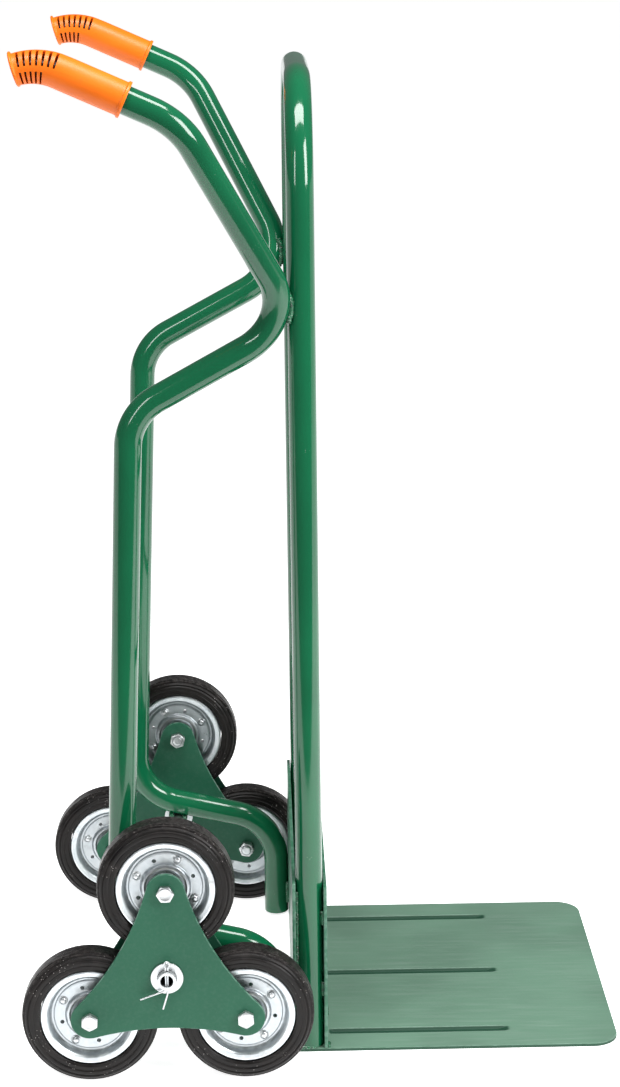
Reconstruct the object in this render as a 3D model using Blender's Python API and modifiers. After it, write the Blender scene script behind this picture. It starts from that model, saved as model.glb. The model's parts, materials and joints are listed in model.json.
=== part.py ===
"""Stair-climbing hand truck, in metres, +Z up.

+X points forward, towards the toe plate, and +Y to the left hand of the person who pushes.
The origin lies on the floor, under the middle of the whole truck.
Each side carries a three-armed star that turns freely on the axle, with a wheel on each arm.
"""

import math

import bmesh
import bpy
from mathutils import Matrix, Vector

# ---- overall sizes ----
TOTAL_HEIGHT = 1.170        # floor to the top of the back loop
TOE_REACH = 0.540           # axle to the front edge of the toe plate
POST_SPACING = 0.394        # between the centre lines of the two posts
POST_REACH = 0.168          # axle to the posts' centre lines, at the floor
LOOP_LEAN = 0.004           # how far back the loop's top stands from its foot
TYRE_RADIUS = 0.080

# ---- clearances ----
SEAT_GAP = 0.0003           # between pieces that touch
RUN_GAP = 0.0006            # between pieces that turn past each other
TYRE_GAP = 0.0015           # beside a tyre, inside its star
TYRES_APART = 0.0219        # between two tyres of one star
STAR_CLEARANCE = 0.0041     # handle tube to the bolt ends that turn past it
FOOT_CLEARANCE = 0.003      # floor to the handle tubes' cut ends

# ---- tubes ----
TUBE_RADIUS = 0.0159
TUBE_WALL = 0.0018
TUBE_BEND = 0.066           # centre-line radius of a bend
TOP_BEND = 0.085            # centre-line radius of the bend below each grip
LOOP_BEND = 0.120           # centre-line radius of the back loop's corners
BEND_STEP = math.radians(15)
BAR_RADIUS = 0.011
BAR_COUNT = 3
LOWEST_BAR = 0.210          # rear plate's top to the lowest bar
TOP_BAR_DROP = 0.265        # loop's top to the highest bar

# ---- handle tubes: reaches are from the axle, drops from the loop's top ----
LEG_SET = 0.009             # how far each leg stands outside its post, centre to centre
LEG_BACK = 0.056            # the leg's foot, behind the axle
LEG_LEAN = 0.023            # how far the leg's top stands in front of its foot
LEG_DROP = 0.386
KNEE_SET = 0.003
KNEE_DROP = 0.281
GRIP_SET = 0.105
NECK_REACH = 0.034          # the bend below the grip
NECK_DROP = 0.046
NECK_LENGTH = 0.062         # from that bend to the grip's collar
RUN_FALL = math.radians(13)     # slope of the run that lies on the axle
GRIP_RISE = math.radians(24)

# ---- grips ----
GRIP_STRAIGHT = 0.075
GRIP_TIP_BEND = 0.070
GRIP_TIP_TURN = math.radians(40)
GRIP_WALL = 0.0031
GRIP_TIP_TAPER = 0.0017     # how much slimmer than its barrel the tip is
COLLAR_STEP = 0.0017        # how far the collar stands out from the barrel
COLLAR_LENGTH = 0.0035
END_DISC_STEP = 0.0010
END_DISC_LENGTH = 0.0028
STEP_SLOPE = 0.0004         # length in which a grip's radius steps
TUBE_IN_GRIP = 0.070

# ---- plates ----
PLATE = 0.004
TOE_CORNER = 0.032
FRONT_PLATE_HEIGHT = 0.210
REAR_PLATE_HEIGHT = 0.215
GROOVE_WIDTH = 0.014
GROOVE_DEPTH = 0.0024
GROOVE_LENGTH = 0.224
GROOVE_LEAD = 0.012         # length in which a groove deepens
GROOVE_TAIL = 0.034         # and in which it dies away
GROOVE_SETBACK = 0.002      # from the front plate to the grooves
GROOVE_EDGE = 0.046         # from the toe plate's side edge to the outer grooves

# ---- stars ----
STAR_PLATE = 0.004
ARM_RADIUS = 0.0225
HOLLOW = 0.0115             # how far a side's middle lies inside the line that touches both arm ends
SLEEVE_WALL = 0.0045

# ---- wheels ----
TYRE_WIDTH = 0.036
TYRE_DEPTH = 0.0212         # tread to bore
TREAD_SET = 0.005           # side wall to the tread's edge
SHOULDER = 0.0055
LIP_SET = 0.003             # side wall in to the rim's lip
LIP_RING = 0.0075
DISH_SLOPE = 0.0042         # radial width of the slope from the lip down to the web
WEB = 0.0025
HUB_RADIUS = 0.0250
HUB_SET = 0.007             # side wall in to the hub's face
BUSH_WALL = 0.0060

# ---- axle and fasteners ----
AXLE_RADIUS = 0.011
AXLE_WALL = 0.0035
WASHER_BAND = 0.008         # how far a washer stands out from the axle
WASHER = 0.002
PIN_WIRE = 0.0011
PIN_HOLE = 0.0027
PIN_SETBACK = 0.0045        # outer washer to the split pin
PIN_EYE = 0.0033            # centre-line radius of the split pin's eye
PIN_LIFT = 0.0045           # axle to the eye
PIN_BELOW = 0.0015          # axle to where the legs part
PIN_SPLIT = 0.00015         # half the gap between the legs
PIN_LONG_END = (-0.0300, -0.0112)   # how far back and up each leg's end lies from there
PIN_SHORT_END = (-0.0063, -0.0235)
AXLE_PROUD = 0.0045         # split pin to the end of the axle
BOLT_RADIUS = 0.006
BOLT_HEAD = 0.0075
NUT = 0.010
BOLT_TAIL = 0.0017          # how far the bolt shows past its nut

# ---- how finely round things are cut ----
TYRE_SIDES = 24
RIM_SIDES = 20
TUBE_SIDES = 12
SMALL_SIDES = 16
BOLT_SIDES = 12
WIRE_SIDES = 8

# ---- sizes that follow ----
STAR_RADIUS = (2 * TYRE_RADIUS + TYRES_APART) / math.sqrt(3)
WHEEL_BACK = STAR_RADIUS * math.cos(math.radians(30)) + TYRE_RADIUS
AXLE_X = (WHEEL_BACK - TOE_REACH) / 2
AXLE_Z = TYRE_RADIUS + STAR_RADIUS * math.sin(math.radians(30))
POST_FOOT_X = AXLE_X + POST_REACH
POST_Y = POST_SPACING / 2
POST_SLOPE = LOOP_LEAN / TOTAL_HEIGHT
TOE_WIDTH = POST_SPACING + 2 * TUBE_RADIUS
REAR_PLATE_X = POST_FOOT_X - POST_SLOPE * REAR_PLATE_HEIGHT - TUBE_RADIUS - SEAT_GAP - PLATE
FRONT_PLATE_X = POST_FOOT_X + TUBE_RADIUS + SEAT_GAP
FOOT_X = REAR_PLATE_X - SEAT_GAP - TUBE_RADIUS      # handle tubes' upright lower ends
LEG_Y = POST_Y + LEG_SET
KNEE_Y = POST_Y + KNEE_SET
GRIP_Y = POST_Y + GRIP_SET
LEG_TOP = TOTAL_HEIGHT - LEG_DROP
HALF_STAR = TYRE_WIDTH / 2 + TYRE_GAP               # star middle to the inside of a plate
BOLT_SEAT = HALF_STAR + STAR_PLATE + SEAT_GAP       # star middle to the nuts and bolt heads
STAR_Y = LEG_Y + TUBE_RADIUS + STAR_CLEARANCE + BOLT_TAIL + NUT + BOLT_SEAT
OUTER_FACE = STAR_Y + HALF_STAR + STAR_PLATE
SLEEVE_BORE = AXLE_RADIUS + SEAT_GAP
SLEEVE_RADIUS = SLEEVE_BORE + SLEEVE_WALL
SLEEVE_INNER_END = LEG_Y + TUBE_RADIUS + WASHER + 2 * RUN_GAP
PIN_Y = OUTER_FACE + RUN_GAP + WASHER + PIN_SETBACK
AXLE_END = PIN_Y + AXLE_PROUD
HEX_WIDTH = 3 * BOLT_RADIUS                         # across the flats
BUSH_RADIUS = BOLT_RADIUS + SEAT_GAP + BUSH_WALL
TYRE_BORE = TYRE_RADIUS - TYRE_DEPTH
LIP = TYRE_WIDTH / 2 - LIP_SET                      # wheel middle to the rim's lip
HUB_FACE = TYRE_WIDTH / 2 - HUB_SET
BARREL_RADIUS = TUBE_RADIUS + SEAT_GAP + GRIP_WALL
SIDES = {"left": 1, "right": -1}
ARMS = {"top": 90, "rear": 210, "front": 330}

# ---- colours: (red, green, blue), roughness, metallic ----
FINISHES = {
    "green_paint": ((0.010, 0.150, 0.065), 0.25, 0.0),
    "green_plate": ((0.055, 0.180, 0.115), 0.35, 0.0),
    "zinc": ((0.62, 0.67, 0.70), 0.30, 1.0),
    "orange_plastic": ((0.95, 0.26, 0.010), 0.40, 0.0),
    "black_rubber": ((0.030, 0.026, 0.026), 0.60, 0.0),
    "nylon": ((0.75, 0.73, 0.66), 0.45, 0.0),
}


def clear_scene():
    """Remove every object, so that the script starts from nothing."""
    for old in list(bpy.data.objects):
        bpy.data.objects.remove(old, do_unlink=True)


def new_collection(name):
    """Make a collection under the scene."""
    group = bpy.data.collections.new(name)
    bpy.context.scene.collection.children.link(group)
    return group


clear_scene()
PARTS = new_collection("hand_truck")
CUTTERS = new_collection("cutters")


def finish_material(name, finish):
    """A part's own material, in one of the finishes."""
    colour, roughness, metallic = FINISHES[finish]
    material = bpy.data.materials.new(name + "_" + finish)
    material.use_nodes = True
    shader = material.node_tree.nodes["Principled BSDF"]
    shader.inputs["Base Color"].default_value = (*colour, 1.0)
    shader.inputs["Roughness"].default_value = roughness
    shader.inputs["Metallic"].default_value = metallic
    return material


def joint_empty(name, place, parent=None):
    """An empty on a joint's axis, which the moving pieces hang from."""
    empty = bpy.data.objects.new(name, None)
    PARTS.objects.link(empty)
    empty.location = place
    if parent is not None:
        empty.parent = parent
        empty.location = Vector(place) - world_place(parent)
    return empty


def world_place(thing):
    """Where an unturned object stands, its parents counted."""
    place = Vector(thing.location)
    if thing.parent is not None:
        place += world_place(thing.parent)
    return place


def add_part(name, mesh, finish, place=(0, 0, 0), parent=None, smooth=True):
    """Put a mesh in the scene as a named part at a place given in world coordinates."""
    part = bpy.data.objects.new(name, mesh)
    PARTS.objects.link(part)
    part.location = place
    if parent is not None:
        part.parent = parent
        part.location = Vector(place) - world_place(parent)
    mesh.materials.clear()
    mesh.materials.append(finish_material(name, finish))
    if smooth:
        mesh.shade_smooth()
        mesh.set_sharp_from_angle(angle=math.radians(35))
    return part


def evaluated_mesh(thing):
    """The mesh of an object with its curve or modifiers worked out, and its ends welded."""
    bpy.context.view_layer.update()
    graph = bpy.context.evaluated_depsgraph_get()
    mesh = bpy.data.meshes.new_from_object(thing.evaluated_get(graph), depsgraph=graph)
    mesh.transform(thing.matrix_world)
    work = bmesh.new()
    work.from_mesh(mesh)
    bmesh.ops.remove_doubles(work, verts=work.verts, dist=0.00002)
    work.to_mesh(mesh)
    work.free()
    bpy.data.objects.remove(thing, do_unlink=True)
    return mesh


def scratch_object(name, data):
    """A construction object, kept among the cutters."""
    thing = bpy.data.objects.new(name, data)
    CUTTERS.objects.link(thing)
    thing.hide_render = True
    if thing.type == "MESH":
        thing.display_type = "WIRE"
    return thing


def cut(mesh, cutters, operation="DIFFERENCE"):
    """Cut meshes from a mesh, or join or intersect them with it."""
    body = scratch_object("body", mesh)
    for number, cutter in enumerate(cutters):
        step = body.modifiers.new("cut_%d" % number, "BOOLEAN")
        step.operation = operation
        step.object = scratch_object("cutter", cutter)
    result = evaluated_mesh(body)
    for cutter in list(CUTTERS.objects):
        bpy.data.objects.remove(cutter, do_unlink=True)
    return result


def turned(profile, sides):
    """A ring turned about Y. The profile holds (radius, y) points, listed round its section."""
    mesh = bpy.data.meshes.new("profile")
    work = bmesh.new()
    corners = [work.verts.new((radius, 0, y)) for radius, y in profile]
    for here, following in zip(corners, corners[1:] + corners[:1]):
        work.edges.new((here, following))
    work.to_mesh(mesh)
    work.free()
    ring = scratch_object("ring", mesh)
    screw = ring.modifiers.new("turn", "SCREW")
    screw.steps = sides
    screw.render_steps = sides
    screw.use_merge_vertices = True
    screw.merge_threshold = 0.00001
    ring_mesh = evaluated_mesh(ring)
    ring_mesh.transform(Matrix.Rotation(math.radians(-90), 4, "X"))
    face_outwards(ring_mesh)
    return ring_mesh


def face_outwards(mesh):
    """Turn all of a closed mesh's faces outwards."""
    work = bmesh.new()
    work.from_mesh(mesh)
    bmesh.ops.recalc_face_normals(work, faces=work.faces)
    work.to_mesh(mesh)
    work.free()


def rod(radius, start, end, sides, spin=0.0):
    """A solid round bar between two points; at spin 0 a corner of it points sideways."""
    start = Vector(start)
    along = Vector(end) - start
    mesh = bpy.data.meshes.new("rod")
    work = bmesh.new()
    bmesh.ops.create_cone(
        work, cap_ends=True, segments=sides, radius1=radius, radius2=radius, depth=along.length)
    turn = along.to_track_quat("Z", "Y").to_matrix().to_4x4() @ Matrix.Rotation(spin, 4, "Z")
    bmesh.ops.transform(
        work, verts=work.verts, matrix=Matrix.Translation(start + along / 2) @ turn)
    work.to_mesh(mesh)
    work.free()
    return mesh


def across_flats(width):
    """A hexagon's corner radius."""
    return width / 2 / math.cos(math.radians(30))


def around(radius, sides):
    """The corner radius of a ring with this many sides that stays outside a circle."""
    return radius / math.cos(math.pi / sides)


def box(low, high):
    """A box between two corners."""
    low, high = Vector(low), Vector(high)
    mesh = bpy.data.meshes.new("box")
    work = bmesh.new()
    bmesh.ops.create_cube(work, size=1.0)
    size = high - low
    bmesh.ops.scale(work, verts=work.verts, vec=size)
    bmesh.ops.translate(work, verts=work.verts, vec=low + size / 2)
    work.to_mesh(mesh)
    work.free()
    return mesh


def arc_points(centre, radius, first, last, steps):
    """Points on an arc in a plane, from one angle to another."""
    points = []
    for step in range(steps + 1):
        angle = first + (last - first) * step / steps
        points.append((centre[0] + radius * math.cos(angle), centre[1] + radius * math.sin(angle)))
    return points


def flat_plate(outlines, thickness):
    """A plate in the XY plane about Z = 0: the first outline is its edge, the others are holes."""
    curve = bpy.data.curves.new("outline", "CURVE")
    curve.dimensions = "2D"
    curve.fill_mode = "BOTH"
    curve.extrude = thickness / 2
    for outline in outlines:
        spline = curve.splines.new("POLY")
        spline.points.add(len(outline) - 1)
        for point, (x, y) in zip(spline.points, outline):
            point.co = (x, y, 0, 1)
        spline.use_cyclic_u = True
    mesh = evaluated_mesh(scratch_object("outline", curve))
    face_outwards(mesh)
    return mesh


def bent_path(corners, bends):
    """Centre-line points through corners, each inner corner rounded to its own bend radius."""
    corners = [Vector(corner) for corner in corners]
    points = [corners[0]]
    for before, corner, after, bend in zip(corners, corners[1:], corners[2:], bends):
        into = (corner - before).normalized()
        out = (after - corner).normalized()
        turn = into.angle(out)
        setback = bend * math.tan(turn / 2)
        start = corner - into * setback
        inward = (out - into * into.dot(out)).normalized()
        steps = max(2, math.ceil(turn / BEND_STEP))
        for step in range(steps + 1):
            angle = turn * step / steps
            points.append(
                start + into * bend * math.sin(angle) + inward * bend * (1 - math.cos(angle)))
    points.append(corners[-1])
    return points


def swept(path, radius, sides, scales=None, capped=True):
    """A round bar along a path, its radius scaled point by point where scales are given."""
    curve = bpy.data.curves.new("path", "CURVE")
    curve.dimensions = "3D"
    curve.bevel_depth = radius
    curve.bevel_resolution = sides // 2 - 2
    curve.use_fill_caps = capped
    curve.twist_mode = "MINIMUM"
    spline = curve.splines.new("POLY")
    spline.points.add(len(path) - 1)
    for number, (point, place) in enumerate(zip(spline.points, path)):
        point.co = (*place, 1)
        point.radius = scales[number] if scales else 1.0
    return evaluated_mesh(scratch_object("path", curve))


def tube_mesh(path, radius, wall, sides):
    """A hollow tube with open ends along a path."""
    skin = scratch_object("skin", swept(path, radius, sides, capped=False))
    shell = skin.modifiers.new("wall", "SOLIDIFY")
    shell.thickness = wall
    shell.offset = -1.0
    shell.use_even_offset = True
    mesh = evaluated_mesh(skin)
    face_outwards(mesh)
    return mesh


# ---- the frame ----
def post_x(height):
    """Where a post's centre line stands at a height."""
    return POST_FOOT_X - POST_SLOPE * height


def make_back_loop():
    """The upturned U of tube that the load leans on."""
    foot = PLATE + SEAT_GAP
    top = TOTAL_HEIGHT - TUBE_RADIUS
    corners = [
        (post_x(foot), -POST_Y, foot), (post_x(top), -POST_Y, top),
        (post_x(top), POST_Y, top), (post_x(foot), POST_Y, foot)]
    path = bent_path(corners, (LOOP_BEND, LOOP_BEND))
    add_part("back_loop", tube_mesh(path, TUBE_RADIUS, TUBE_WALL, TUBE_SIDES), "green_paint")


def make_cross_bars():
    """Bars between the posts, their ends coped to the round of the posts."""
    reach = POST_Y - TUBE_RADIUS / 2
    lowest = REAR_PLATE_HEIGHT + LOWEST_BAR
    spacing = (TOTAL_HEIGHT - TOP_BAR_DROP - lowest) / (BAR_COUNT - 1)
    for number in range(BAR_COUNT):
        height = lowest + number * spacing
        x = post_x(height)
        bar = rod(BAR_RADIUS, (x, -reach, height), (x, reach, height), TUBE_SIDES)
        copes = []
        for side in SIDES.values():
            low = (x, side * POST_Y, height - 2 * BAR_RADIUS)
            high = (x, side * POST_Y, height + 2 * BAR_RADIUS)
            copes.append(rod(around(TUBE_RADIUS + SEAT_GAP, SMALL_SIDES), low, high, SMALL_SIDES))
        add_part("cross_bar_%d" % (number + 1), cut(bar, copes), "green_paint")


def neck_direction():
    """The way the tube runs up and back into the grip."""
    return Vector((-math.cos(GRIP_RISE), 0, math.sin(GRIP_RISE)))


def handle_corners(knee_x):
    """The left handle tube's corners, from its end in the grip to its foot behind the plate."""
    clearance = TUBE_RADIUS + AXLE_RADIUS + SEAT_GAP
    run_at_axle = AXLE_Z + clearance / math.cos(RUN_FALL)
    foot_x = AXLE_X - LEG_BACK
    neck = Vector((AXLE_X + NECK_REACH, GRIP_Y, TOTAL_HEIGHT - NECK_DROP))
    return [
        neck + neck_direction() * (NECK_LENGTH + TUBE_IN_GRIP),
        neck,
        Vector((knee_x, KNEE_Y, TOTAL_HEIGHT - KNEE_DROP)),
        Vector((foot_x + LEG_LEAN, LEG_Y, LEG_TOP)),
        Vector((foot_x, LEG_Y, run_at_axle + LEG_BACK * math.tan(RUN_FALL))),
        Vector((FOOT_X, LEG_Y, run_at_axle - (FOOT_X - AXLE_X) * math.tan(RUN_FALL))),
        Vector((FOOT_X, LEG_Y, FOOT_CLEARANCE)),
    ]


def handle_path():
    """The left handle tube's centre line, its knee resting against the back of the post."""
    bends = (TOP_BEND, TUBE_BEND, TUBE_BEND, TUBE_BEND, TUBE_BEND)
    knee_x = POST_FOOT_X
    for _ in range(30):
        path = bent_path(handle_corners(knee_x), bends)
        upper = [point for point in path if point.z > LEG_TOP]
        distance = min((point.xy - Vector((post_x(point.z), POST_Y))).length for point in upper)
        knee_x += distance - 2 * TUBE_RADIUS - SEAT_GAP
    return path


def mirrored(points, side):
    """Points for the left (1) or the right (-1) side."""
    return [Vector((point[0], side * point[1], point[2])) for point in points]


def make_handle_tubes():
    """The two S-bent tubes that carry the grips, rest on the axle and stand behind the posts."""
    path = handle_path()
    for name, side in SIDES.items():
        mesh = tube_mesh(mirrored(path, side), TUBE_RADIUS, TUBE_WALL, TUBE_SIDES)
        add_part("handle_tube_" + name, mesh, "green_paint")


def make_grips():
    """Moulded grips: a collar, a straight barrel on the tube, and a solid tip bent level."""
    neck = handle_corners(POST_FOOT_X)[1]
    collar = neck + neck_direction() * NECK_LENGTH
    along = neck_direction()
    down = Vector((along.z, 0, -along.x)) * -1
    collar_radius = BARREL_RADIUS + COLLAR_STEP
    disc_radius = BARREL_RADIUS + END_DISC_STEP
    stations = [
        (0.0, collar_radius), (COLLAR_LENGTH, collar_radius),
        (COLLAR_LENGTH + STEP_SLOPE, BARREL_RADIUS)]
    arc_length = GRIP_TIP_BEND * GRIP_TIP_TURN
    arc_steps = 6
    for step in range(arc_steps + 1):
        share = step / arc_steps
        stations.append((GRIP_STRAIGHT + arc_length * share, BARREL_RADIUS - GRIP_TIP_TAPER * share))
    tip = GRIP_STRAIGHT + arc_length
    stations += [(tip + STEP_SLOPE, disc_radius), (tip + END_DISC_LENGTH, disc_radius)]
    places = []
    for distance, _ in stations:
        straight = min(distance, GRIP_STRAIGHT)
        angle = min(max(distance - GRIP_STRAIGHT, 0) / GRIP_TIP_BEND, GRIP_TIP_TURN)
        beyond = max(distance - tip, 0)
        place = collar + along * (straight + GRIP_TIP_BEND * math.sin(angle))
        place += down * GRIP_TIP_BEND * (1 - math.cos(angle))
        place += (along * math.cos(angle) + down * math.sin(angle)) * beyond
        places.append(place)
    scales = [radius / BARREL_RADIUS for _, radius in stations]
    bore = around(TUBE_RADIUS + SEAT_GAP, SMALL_SIDES)
    for name, side in SIDES.items():
        mesh = swept(mirrored(places, side), BARREL_RADIUS, SMALL_SIDES, scales)
        face_outwards(mesh)
        low, high = mirrored(
            [collar - along * COLLAR_LENGTH, collar + along * (TUBE_IN_GRIP + SEAT_GAP)], side)
        mesh = cut(mesh, [rod(bore, low, high, SMALL_SIDES)])
        add_part("grip_" + name, mesh, "orange_plastic")


def rounded_front(back, front, half_width, corner, steps=6):
    """A plan outline with square back corners and rounded front ones."""
    points = [(back, -half_width)]
    quarter = math.radians(90)
    points += arc_points((front - corner, -half_width + corner), corner, -quarter, 0, steps)
    points += arc_points((front - corner, half_width - corner), corner, 0, quarter, steps)
    points.append((back, half_width))
    return points


def make_toe_plate():
    """The flat shelf, with three pressed grooves along it."""
    outline = rounded_front(REAR_PLATE_X, AXLE_X + TOE_REACH, TOE_WIDTH / 2, TOE_CORNER)
    plate = flat_plate([outline], PLATE)
    plate.transform(Matrix.Translation((0, 0, PLATE / 2)))
    start = FRONT_PLATE_X + PLATE + GROOVE_SETBACK
    stops = (0.0, GROOVE_LEAD, GROOVE_LENGTH - GROOVE_TAIL, GROOVE_LENGTH)
    swell = (0.45, 1.0, 1.0, 0.30)
    grooves = []
    for lane in (-1, 0, 1):
        groove = swept([(start + stop, 0, 0) for stop in stops], GROOVE_WIDTH / 2, TUBE_SIDES, swell)
        face_outwards(groove)
        groove.transform(Matrix.Diagonal((1, 1, 2 * GROOVE_DEPTH / GROOVE_WIDTH, 1)))
        groove.transform(Matrix.Translation((0, lane * (TOE_WIDTH / 2 - GROOVE_EDGE), PLATE)))
        grooves.append(groove)
    add_part("toe_plate", cut(plate, grooves), "green_plate")


def make_upright_plates():
    """The plate in front of the posts and the one behind them, which hold the shelf square."""
    half = TOE_WIDTH / 2
    foot = PLATE + SEAT_GAP
    plates = (("front_plate", FRONT_PLATE_X, FRONT_PLATE_HEIGHT),
              ("rear_plate", REAR_PLATE_X, REAR_PLATE_HEIGHT))
    for name, x, height in plates:
        mesh = box((x, -half, foot), (x + PLATE, half, height))
        add_part(name, mesh, "green_paint", smooth=False)


# ---- axle ----
def make_axle():
    """The hollow cross axle, drilled near each end for its split pin."""
    bore = AXLE_RADIUS - AXLE_WALL
    profile = [
        (AXLE_RADIUS, AXLE_END), (AXLE_RADIUS, -AXLE_END), (bore, -AXLE_END), (bore, AXLE_END)]
    mesh = turned(profile, SMALL_SIDES)
    drills = []
    for side in SIDES.values():
        low = (0, side * PIN_Y, -2 * AXLE_RADIUS)
        high = (0, side * PIN_Y, 2 * AXLE_RADIUS)
        drills.append(rod(PIN_HOLE, low, high, WIRE_SIDES))
    add_part("axle", cut(mesh, drills), "zinc", (AXLE_X, 0, AXLE_Z))


def make_axle_fittings():
    """Washers either side of each star, and the split pins that hold the stars on."""
    bore = around(AXLE_RADIUS + SEAT_GAP, SMALL_SIDES)
    half = WASHER / 2
    rim = AXLE_RADIUS + WASHER_BAND
    ring = [(rim, half), (rim, -half), (bore, -half), (bore, half)]
    inner_y = LEG_Y + TUBE_RADIUS + RUN_GAP + half
    outer_y = OUTER_FACE + RUN_GAP + half
    for name, side in SIDES.items():
        for which, y in (("inner", inner_y), ("outer", outer_y)):
            place = (AXLE_X, side * y, AXLE_Z)
            add_part("%s_washer_%s" % (which, name), turned(ring, SMALL_SIDES), "zinc", place)
        add_part("split_pin_" + name, split_pin(), "zinc", (AXLE_X, side * PIN_Y, AXLE_Z))


def split_pin():
    """A split pin: an eye on top of the axle, two legs through it, and their ends spread."""
    apart = PIN_WIRE + PIN_SPLIT
    under = -AXLE_RADIUS - PIN_BELOW
    points = [(-apart + PIN_LONG_END[0], under + PIN_LONG_END[1])]
    points += [(-apart - 2 * PIN_WIRE, under - PIN_WIRE), (-apart, under + PIN_WIRE)]
    points.append((-apart, AXLE_RADIUS))
    open_angle = math.radians(22)
    top = AXLE_RADIUS + PIN_LIFT + PIN_EYE
    points += arc_points((0, top), PIN_EYE, 1.5 * math.pi - open_angle, open_angle - math.pi / 2, 10)
    points += [(apart, AXLE_RADIUS), (apart, under + PIN_WIRE)]
    points += [(apart, under - 2 * PIN_WIRE), (apart + PIN_SHORT_END[0], under + PIN_SHORT_END[1])]
    return swept([Vector((x, 0, z)) for x, z in points], PIN_WIRE, WIRE_SIDES)


# ---- stars and wheels ----
def star_outline():
    """A three-armed outline: a round end on each arm, and a hollow arc along each side."""
    middle = math.radians(60)
    half = STAR_RADIUS * math.sin(middle)
    drop = STAR_RADIUS * math.cos(middle)
    rise = ARM_RADIUS - HOLLOW
    bend = (half ** 2 + rise ** 2 - ARM_RADIUS ** 2) / (2 * HOLLOW)
    lean = math.atan2(half, rise + bend)
    arm_end = arc_points((STAR_RADIUS, 0), ARM_RADIUS, -middle - lean, middle + lean, 7)
    reach = drop + rise + bend
    centre = (reach * math.cos(middle), reach * math.sin(middle))
    side = arc_points(centre, bend, middle + math.pi + lean, middle + math.pi - lean, 5)
    points = []
    for arm in range(3):
        spin = math.radians(120 * arm)
        for x, y in arm_end + side[1:-1]:
            points.append((x * math.cos(spin) - y * math.sin(spin),
                           x * math.sin(spin) + y * math.cos(spin)))
    return points


def circle_points(x, y, radius, sides):
    """A closed round outline."""
    points = arc_points((x, y), radius, 0, 2 * math.pi, sides)
    return points[:-1]


def star_plate(centre_hole):
    """One side plate of a star, standing in the XZ plane."""
    outlines = [star_outline(), circle_points(0, 0, around(centre_hole, SMALL_SIDES), SMALL_SIDES)]
    hole = around(BOLT_RADIUS + SEAT_GAP, BOLT_SIDES)
    for arm in range(3):
        angle = math.radians(120 * arm)
        x, y = STAR_RADIUS * math.cos(angle), STAR_RADIUS * math.sin(angle)
        outlines.append(circle_points(x, y, hole, BOLT_SIDES))
    mesh = flat_plate(outlines, STAR_PLATE)
    mesh.transform(Matrix.Rotation(math.radians(90), 4, "Z"))
    mesh.transform(Matrix.Rotation(math.radians(90), 4, "X"))
    return mesh


def hexagon_rod(y_from, y_to):
    """A hexagon bar along Y, centred on the origin's axis."""
    return rod(across_flats(HEX_WIDTH), (0, y_from, 0), (0, y_to, 0), 6)


def bolt_mesh(side):
    """A hexagon bolt through both plates, its head on the outside of the truck."""
    head = hexagon_rod(side * BOLT_SEAT, side * (BOLT_SEAT + BOLT_HEAD))
    inside_head = (0, side * (BOLT_SEAT + BOLT_HEAD / 2), 0)
    tail = (0, -side * (BOLT_SEAT + NUT + BOLT_TAIL), 0)
    return cut(head, [rod(BOLT_RADIUS, inside_head, tail, BOLT_SIDES)], "UNION")


def nut_mesh(side):
    """The nut on the inner end of a bolt."""
    nut = hexagon_rod(-side * BOLT_SEAT, -side * (BOLT_SEAT + NUT))
    hole = around(BOLT_RADIUS + SEAT_GAP, BOLT_SIDES)
    low = (0, -side * (BOLT_SEAT - NUT), 0)
    high = (0, -side * (BOLT_SEAT + 2 * NUT), 0)
    return cut(nut, [rod(hole, low, high, BOLT_SIDES)])


def make_star(name, side):
    """A star: two plates welded to a sleeve, with a bolt and nut on each arm."""
    pivot = joint_empty("star_axis_" + name, (AXLE_X, side * STAR_Y, AXLE_Z))
    outer_y = side * (STAR_Y + HALF_STAR + STAR_PLATE / 2)
    inner_y = side * (STAR_Y - HALF_STAR - STAR_PLATE / 2)
    add_part("star_outer_plate_" + name, star_plate(AXLE_RADIUS + SEAT_GAP),
             "green_plate", (AXLE_X, outer_y, AXLE_Z), pivot)
    add_part("star_inner_plate_" + name, star_plate(SLEEVE_RADIUS + SEAT_GAP),
             "green_plate", (AXLE_X, inner_y, AXLE_Z), pivot)
    low, high = SLEEVE_INNER_END - STAR_Y, HALF_STAR - SEAT_GAP
    if side < 0:
        low, high = -high, -low
    bore = around(SLEEVE_BORE, SMALL_SIDES)
    profile = [(SLEEVE_RADIUS, high), (SLEEVE_RADIUS, low), (bore, low), (bore, high)]
    add_part("star_sleeve_" + name, turned(profile, SMALL_SIDES),
             "green_plate", (AXLE_X, side * STAR_Y, AXLE_Z), pivot)
    for arm, degrees in ARMS.items():
        angle = math.radians(degrees)
        centre = (AXLE_X + STAR_RADIUS * math.cos(angle), side * STAR_Y,
                  AXLE_Z + STAR_RADIUS * math.sin(angle))
        label = "%s_%s" % (name, arm)
        add_part("bolt_" + label, bolt_mesh(side), "zinc", centre, pivot)
        add_part("nut_" + label, nut_mesh(side), "zinc", centre, pivot)
        make_wheel(label, centre, pivot)


def tyre_profile():
    """A solid tyre's section: flat tread, sloping shoulders and straight side walls."""
    half = TYRE_WIDTH / 2
    right = [
        (TYRE_RADIUS, half - TREAD_SET), (TYRE_RADIUS - SHOULDER, half),
        (TYRE_BORE + SHOULDER / 2, half), (TYRE_BORE, LIP + SEAT_GAP)]
    left = [(radius, -y) for radius, y in reversed(right)]
    return left + right


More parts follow.
